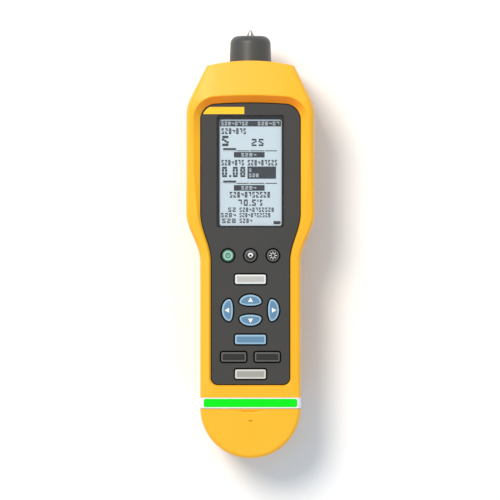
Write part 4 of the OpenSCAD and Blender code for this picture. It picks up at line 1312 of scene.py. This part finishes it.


# Pieces of the keys, each with the finish of its rim, that of its face and the width of its rim. Except on
# the power key, the rim finish is a lighter copy of the face colour: a painted highlight on the bevelled
# edge.
key_looks = {
    "key_power": (key_green, key_mint, 0.75),
    "key_torch": (key_rim_dark, key_dark, 0.75),
    "key_backlight": (key_rim_dark, key_dark, 0.75),
    "key_measure": (key_rim_white, key_white, 1.0),
    "key_up": (key_rim_blue, key_blue, 0.95),
    "key_down": (key_rim_blue, key_blue, 0.95),
    "key_left": (key_rim_blue, key_blue, 0.95),
    "key_right": (key_rim_blue, key_blue, 0.95),
    "key_enter": (key_rim_blue, key_blue, 0.95),
    "key_save": (key_rim_dark, key_dark, 0.8),
    "key_memory": (key_rim_dark, key_dark, 0.8),
    "key_setup": (key_rim_grey, key_grey, 1.0),
}
key_edge = 0.45
flange_edge = 0.1
face_t = 0.05
face_edge = 0.04
mark_low = key_top + face_t
print_top = mark_low + ink_t


def put_key(name):
    rim, face, rim_w = key_looks[name]
    x, up = key_places[name]
    body = plate([key_outline(name, 0)], key_low + flange_t, key_top, key_edge)
    put_cut(name, body, rim, name, round_angle)
    flange = plate([key_outline(name, key_gap + flange_w)], key_low, key_low + flange_t, flange_edge)
    stem = rod_z(x, y_fascia_end + up, stem_r, key_low - stem_h, key_low + flange_t / 2)
    put(name + "_flange", join(flange, stem), mat_rubber, name)
    top = plate([key_outline(name, -rim_w)], key_top - face_t, mark_low, face_edge)
    put(name + "_face", top, face, name)


def put_print(name, outlines, material, key):
    """Marks printed on the face of a key."""
    put(key + name, plates(outlines, mark_low, print_top), material, key)


for name in key_places:
    put_key(name)

arrow_sign = [(-1.4, -0.9), (1.4, -0.9), (0, 1.5)]
for name, turn in arrow_turns.items():
    x, up = key_places[name]
    put_print("_arrow", [turned_points(arrow_sign, x, y_fascia_end + up, turn)], white_print, name)

icon_y = y_fascia_end + round_up
power_x = key_places["key_power"][0]
power_in_r = 1.0
power_out_r = 1.5
power_bar_w = 0.44
power_bar_low = 0.4
power_arc = arc_band(power_x, icon_y, power_in_r, power_out_r, 105, 435)
power_bar = rectangle(power_x - power_bar_w / 2, power_x + power_bar_w / 2,
                      icon_y - power_bar_low, icon_y + power_out_r)
put_print("_sign", [power_arc, power_bar], dark_green_print, "key_power")

torch_x = key_places["key_torch"][0]
eye_in_r = 0.75
lid_r = 1.55
under_r = 1.15
beam_in_r = 2.2
beam_out_r = 2.45
torch_lid = arc_band(torch_x, icon_y, eye_in_r, lid_r, 0, 180)
torch_under = arc_band(torch_x, icon_y, eye_in_r, under_r, 180, 360)
put_print("_sign", [torch_lid, torch_under], white_print, "key_torch")
put_print("_arc", [arc_band(torch_x, icon_y, beam_in_r, beam_out_r, 30, 150)], grey_print, "key_torch")

sun_x = key_places["key_backlight"][0]
sun_rays = 8
ray_start = 0.85
ray_end = 2.2
ray_w = 0.32
sun_ray = rectangle(ray_start, ray_end, -ray_w / 2, ray_w / 2)
rays = [turned_points(sun_ray, sun_x, icon_y, 360 / sun_rays * k) for k in range(sun_rays)]
put_print("_rays", rays, white_print, "key_backlight")


# Nose boot and sensor tip
boot_edge_r = 11.3
boot_round = 4.5
boot_bore_r = 2.55
boot_under = 4.0
boot_lip = 0.3
boot_turns = 128
tip_r = 2.2
tip_end_r = 0.5
tip_shank_l = 20.2
tip_flat = 0.6
tip_turns = 64
y_tip_start = node_low("sensor_tip").y
y_tip = node_high("sensor_tip").y
boot_profile = (
    [(boot_bore_r, y_top - boot_under), (spigot_r, y_top - boot_under), (spigot_r, y_top - nose_floor),
     (boot_r, y_top - nose_floor), (boot_r, y_top)]
    + [(boot_edge_r - boot_round * (1 - cos(a)), y_boot - boot_round * (1 - sin(a)))
       for a in steps(0, pi / 2, 24, True)]
    + [(boot_bore_r + boot_lip, y_boot), (boot_bore_r, y_boot - boot_lip)]
)
put_cut("nose_boot", turned_y(boot_profile, nose_z, boot_turns), rubber, "housing", round_angle)
tip_profile = (
    [(0, y_tip_start), (tip_r, y_tip_start), (tip_r, y_tip_start + tip_shank_l)]
    + [(tip_end_r * cos(a), y_tip - tip_end_r * (1 - sin(a)) * tip_flat) for a in steps(0, pi / 2, 8, True)]
)
put_cut("sensor_tip", turned_y(tip_profile, nose_z, tip_turns), steel, "probe", round_angle)


# Floor, light and camera
floor_z = cad_box[0].z / MM
floor_w = 3000
floor_finish = finish("pale_floor", (0.965, 0.98, 1.0), (0.85, 0.95), 600, 0.001, 20, 0.004, gloss=0.0)
floor_slab = block(-floor_w, floor_w, -floor_w, floor_w, floor_z - over, floor_z)
floor = bpy.data.objects.new("floor", floor_slab)
link_object(floor)
floor.data.materials.append(floor_finish)

# The window light falls from the upper left, and its spread gives the shadow its soft edge
sun_fall = (0.36, -0.42, -1)
sun_spread = 19
soft_place = (-0.22, 0.32, 0.46)
soft_aim = (0, 0.08, 0.05)
lamp_data = bpy.data.lights.new("window_light", "SUN")
lamp_data.energy = 1.88
lamp_data.color = (1, 0.86, 0.71)
lamp_data.angle = radians(sun_spread)
lamp = bpy.data.objects.new("window_light", lamp_data)
lamp.rotation_euler = Vector(sun_fall).to_track_quat("-Z", "Y").to_euler()
link_object(lamp)

soft_data = bpy.data.lights.new("soft_box", "AREA")
soft_data.energy = 0.6
soft_data.size = 0.3
soft = bpy.data.objects.new("soft_box", soft_data)
soft.location = soft_place
soft.rotation_euler = (Vector(soft_aim) - Vector(soft_place)).to_track_quat("-Z", "Y").to_euler()
link_object(soft)

# A cool fill in the shade, and white for what is seen in a reflection or behind the meter
fill_colour = (0.505, 0.605, 0.70, 1)
white = (1, 1, 1, 1)
world = bpy.data.worlds.new("studio")
bpy.context.scene.world = world
world.use_nodes = True
tree = world.node_tree
background = tree.nodes["Background"]
path = tree.nodes.new("ShaderNodeLightPath")
seen = math(tree, "MAXIMUM", path.outputs["Is Camera Ray"], path.outputs["Is Glossy Ray"])
seen_at_all = math(tree, "MAXIMUM", seen, path.outputs["Is Transmission Ray"])
link(tree, blend(tree, seen_at_all, fill_colour, white), background.inputs["Color"])

# The eye is far above, so that the picture has almost no perspective
sensor_w = 36
sight_l = 10
eye_x = -0.28
eye_y = -3.4
eye_h = 4000
picture_w = 280.9
picture_z = 40
camera_data = bpy.data.cameras.new("camera")
camera_data.sensor_width = sensor_w
camera_data.lens = sensor_w * (eye_h - picture_z) / picture_w
camera_data.clip_end = sight_l
camera = bpy.data.objects.new("camera", camera_data)
camera.location = (eye_x * MM, eye_y * MM, eye_h * MM)
link_object(camera)
bpy.context.scene.camera = camera
bpy.context.scene.view_settings.view_transform = "Standard"
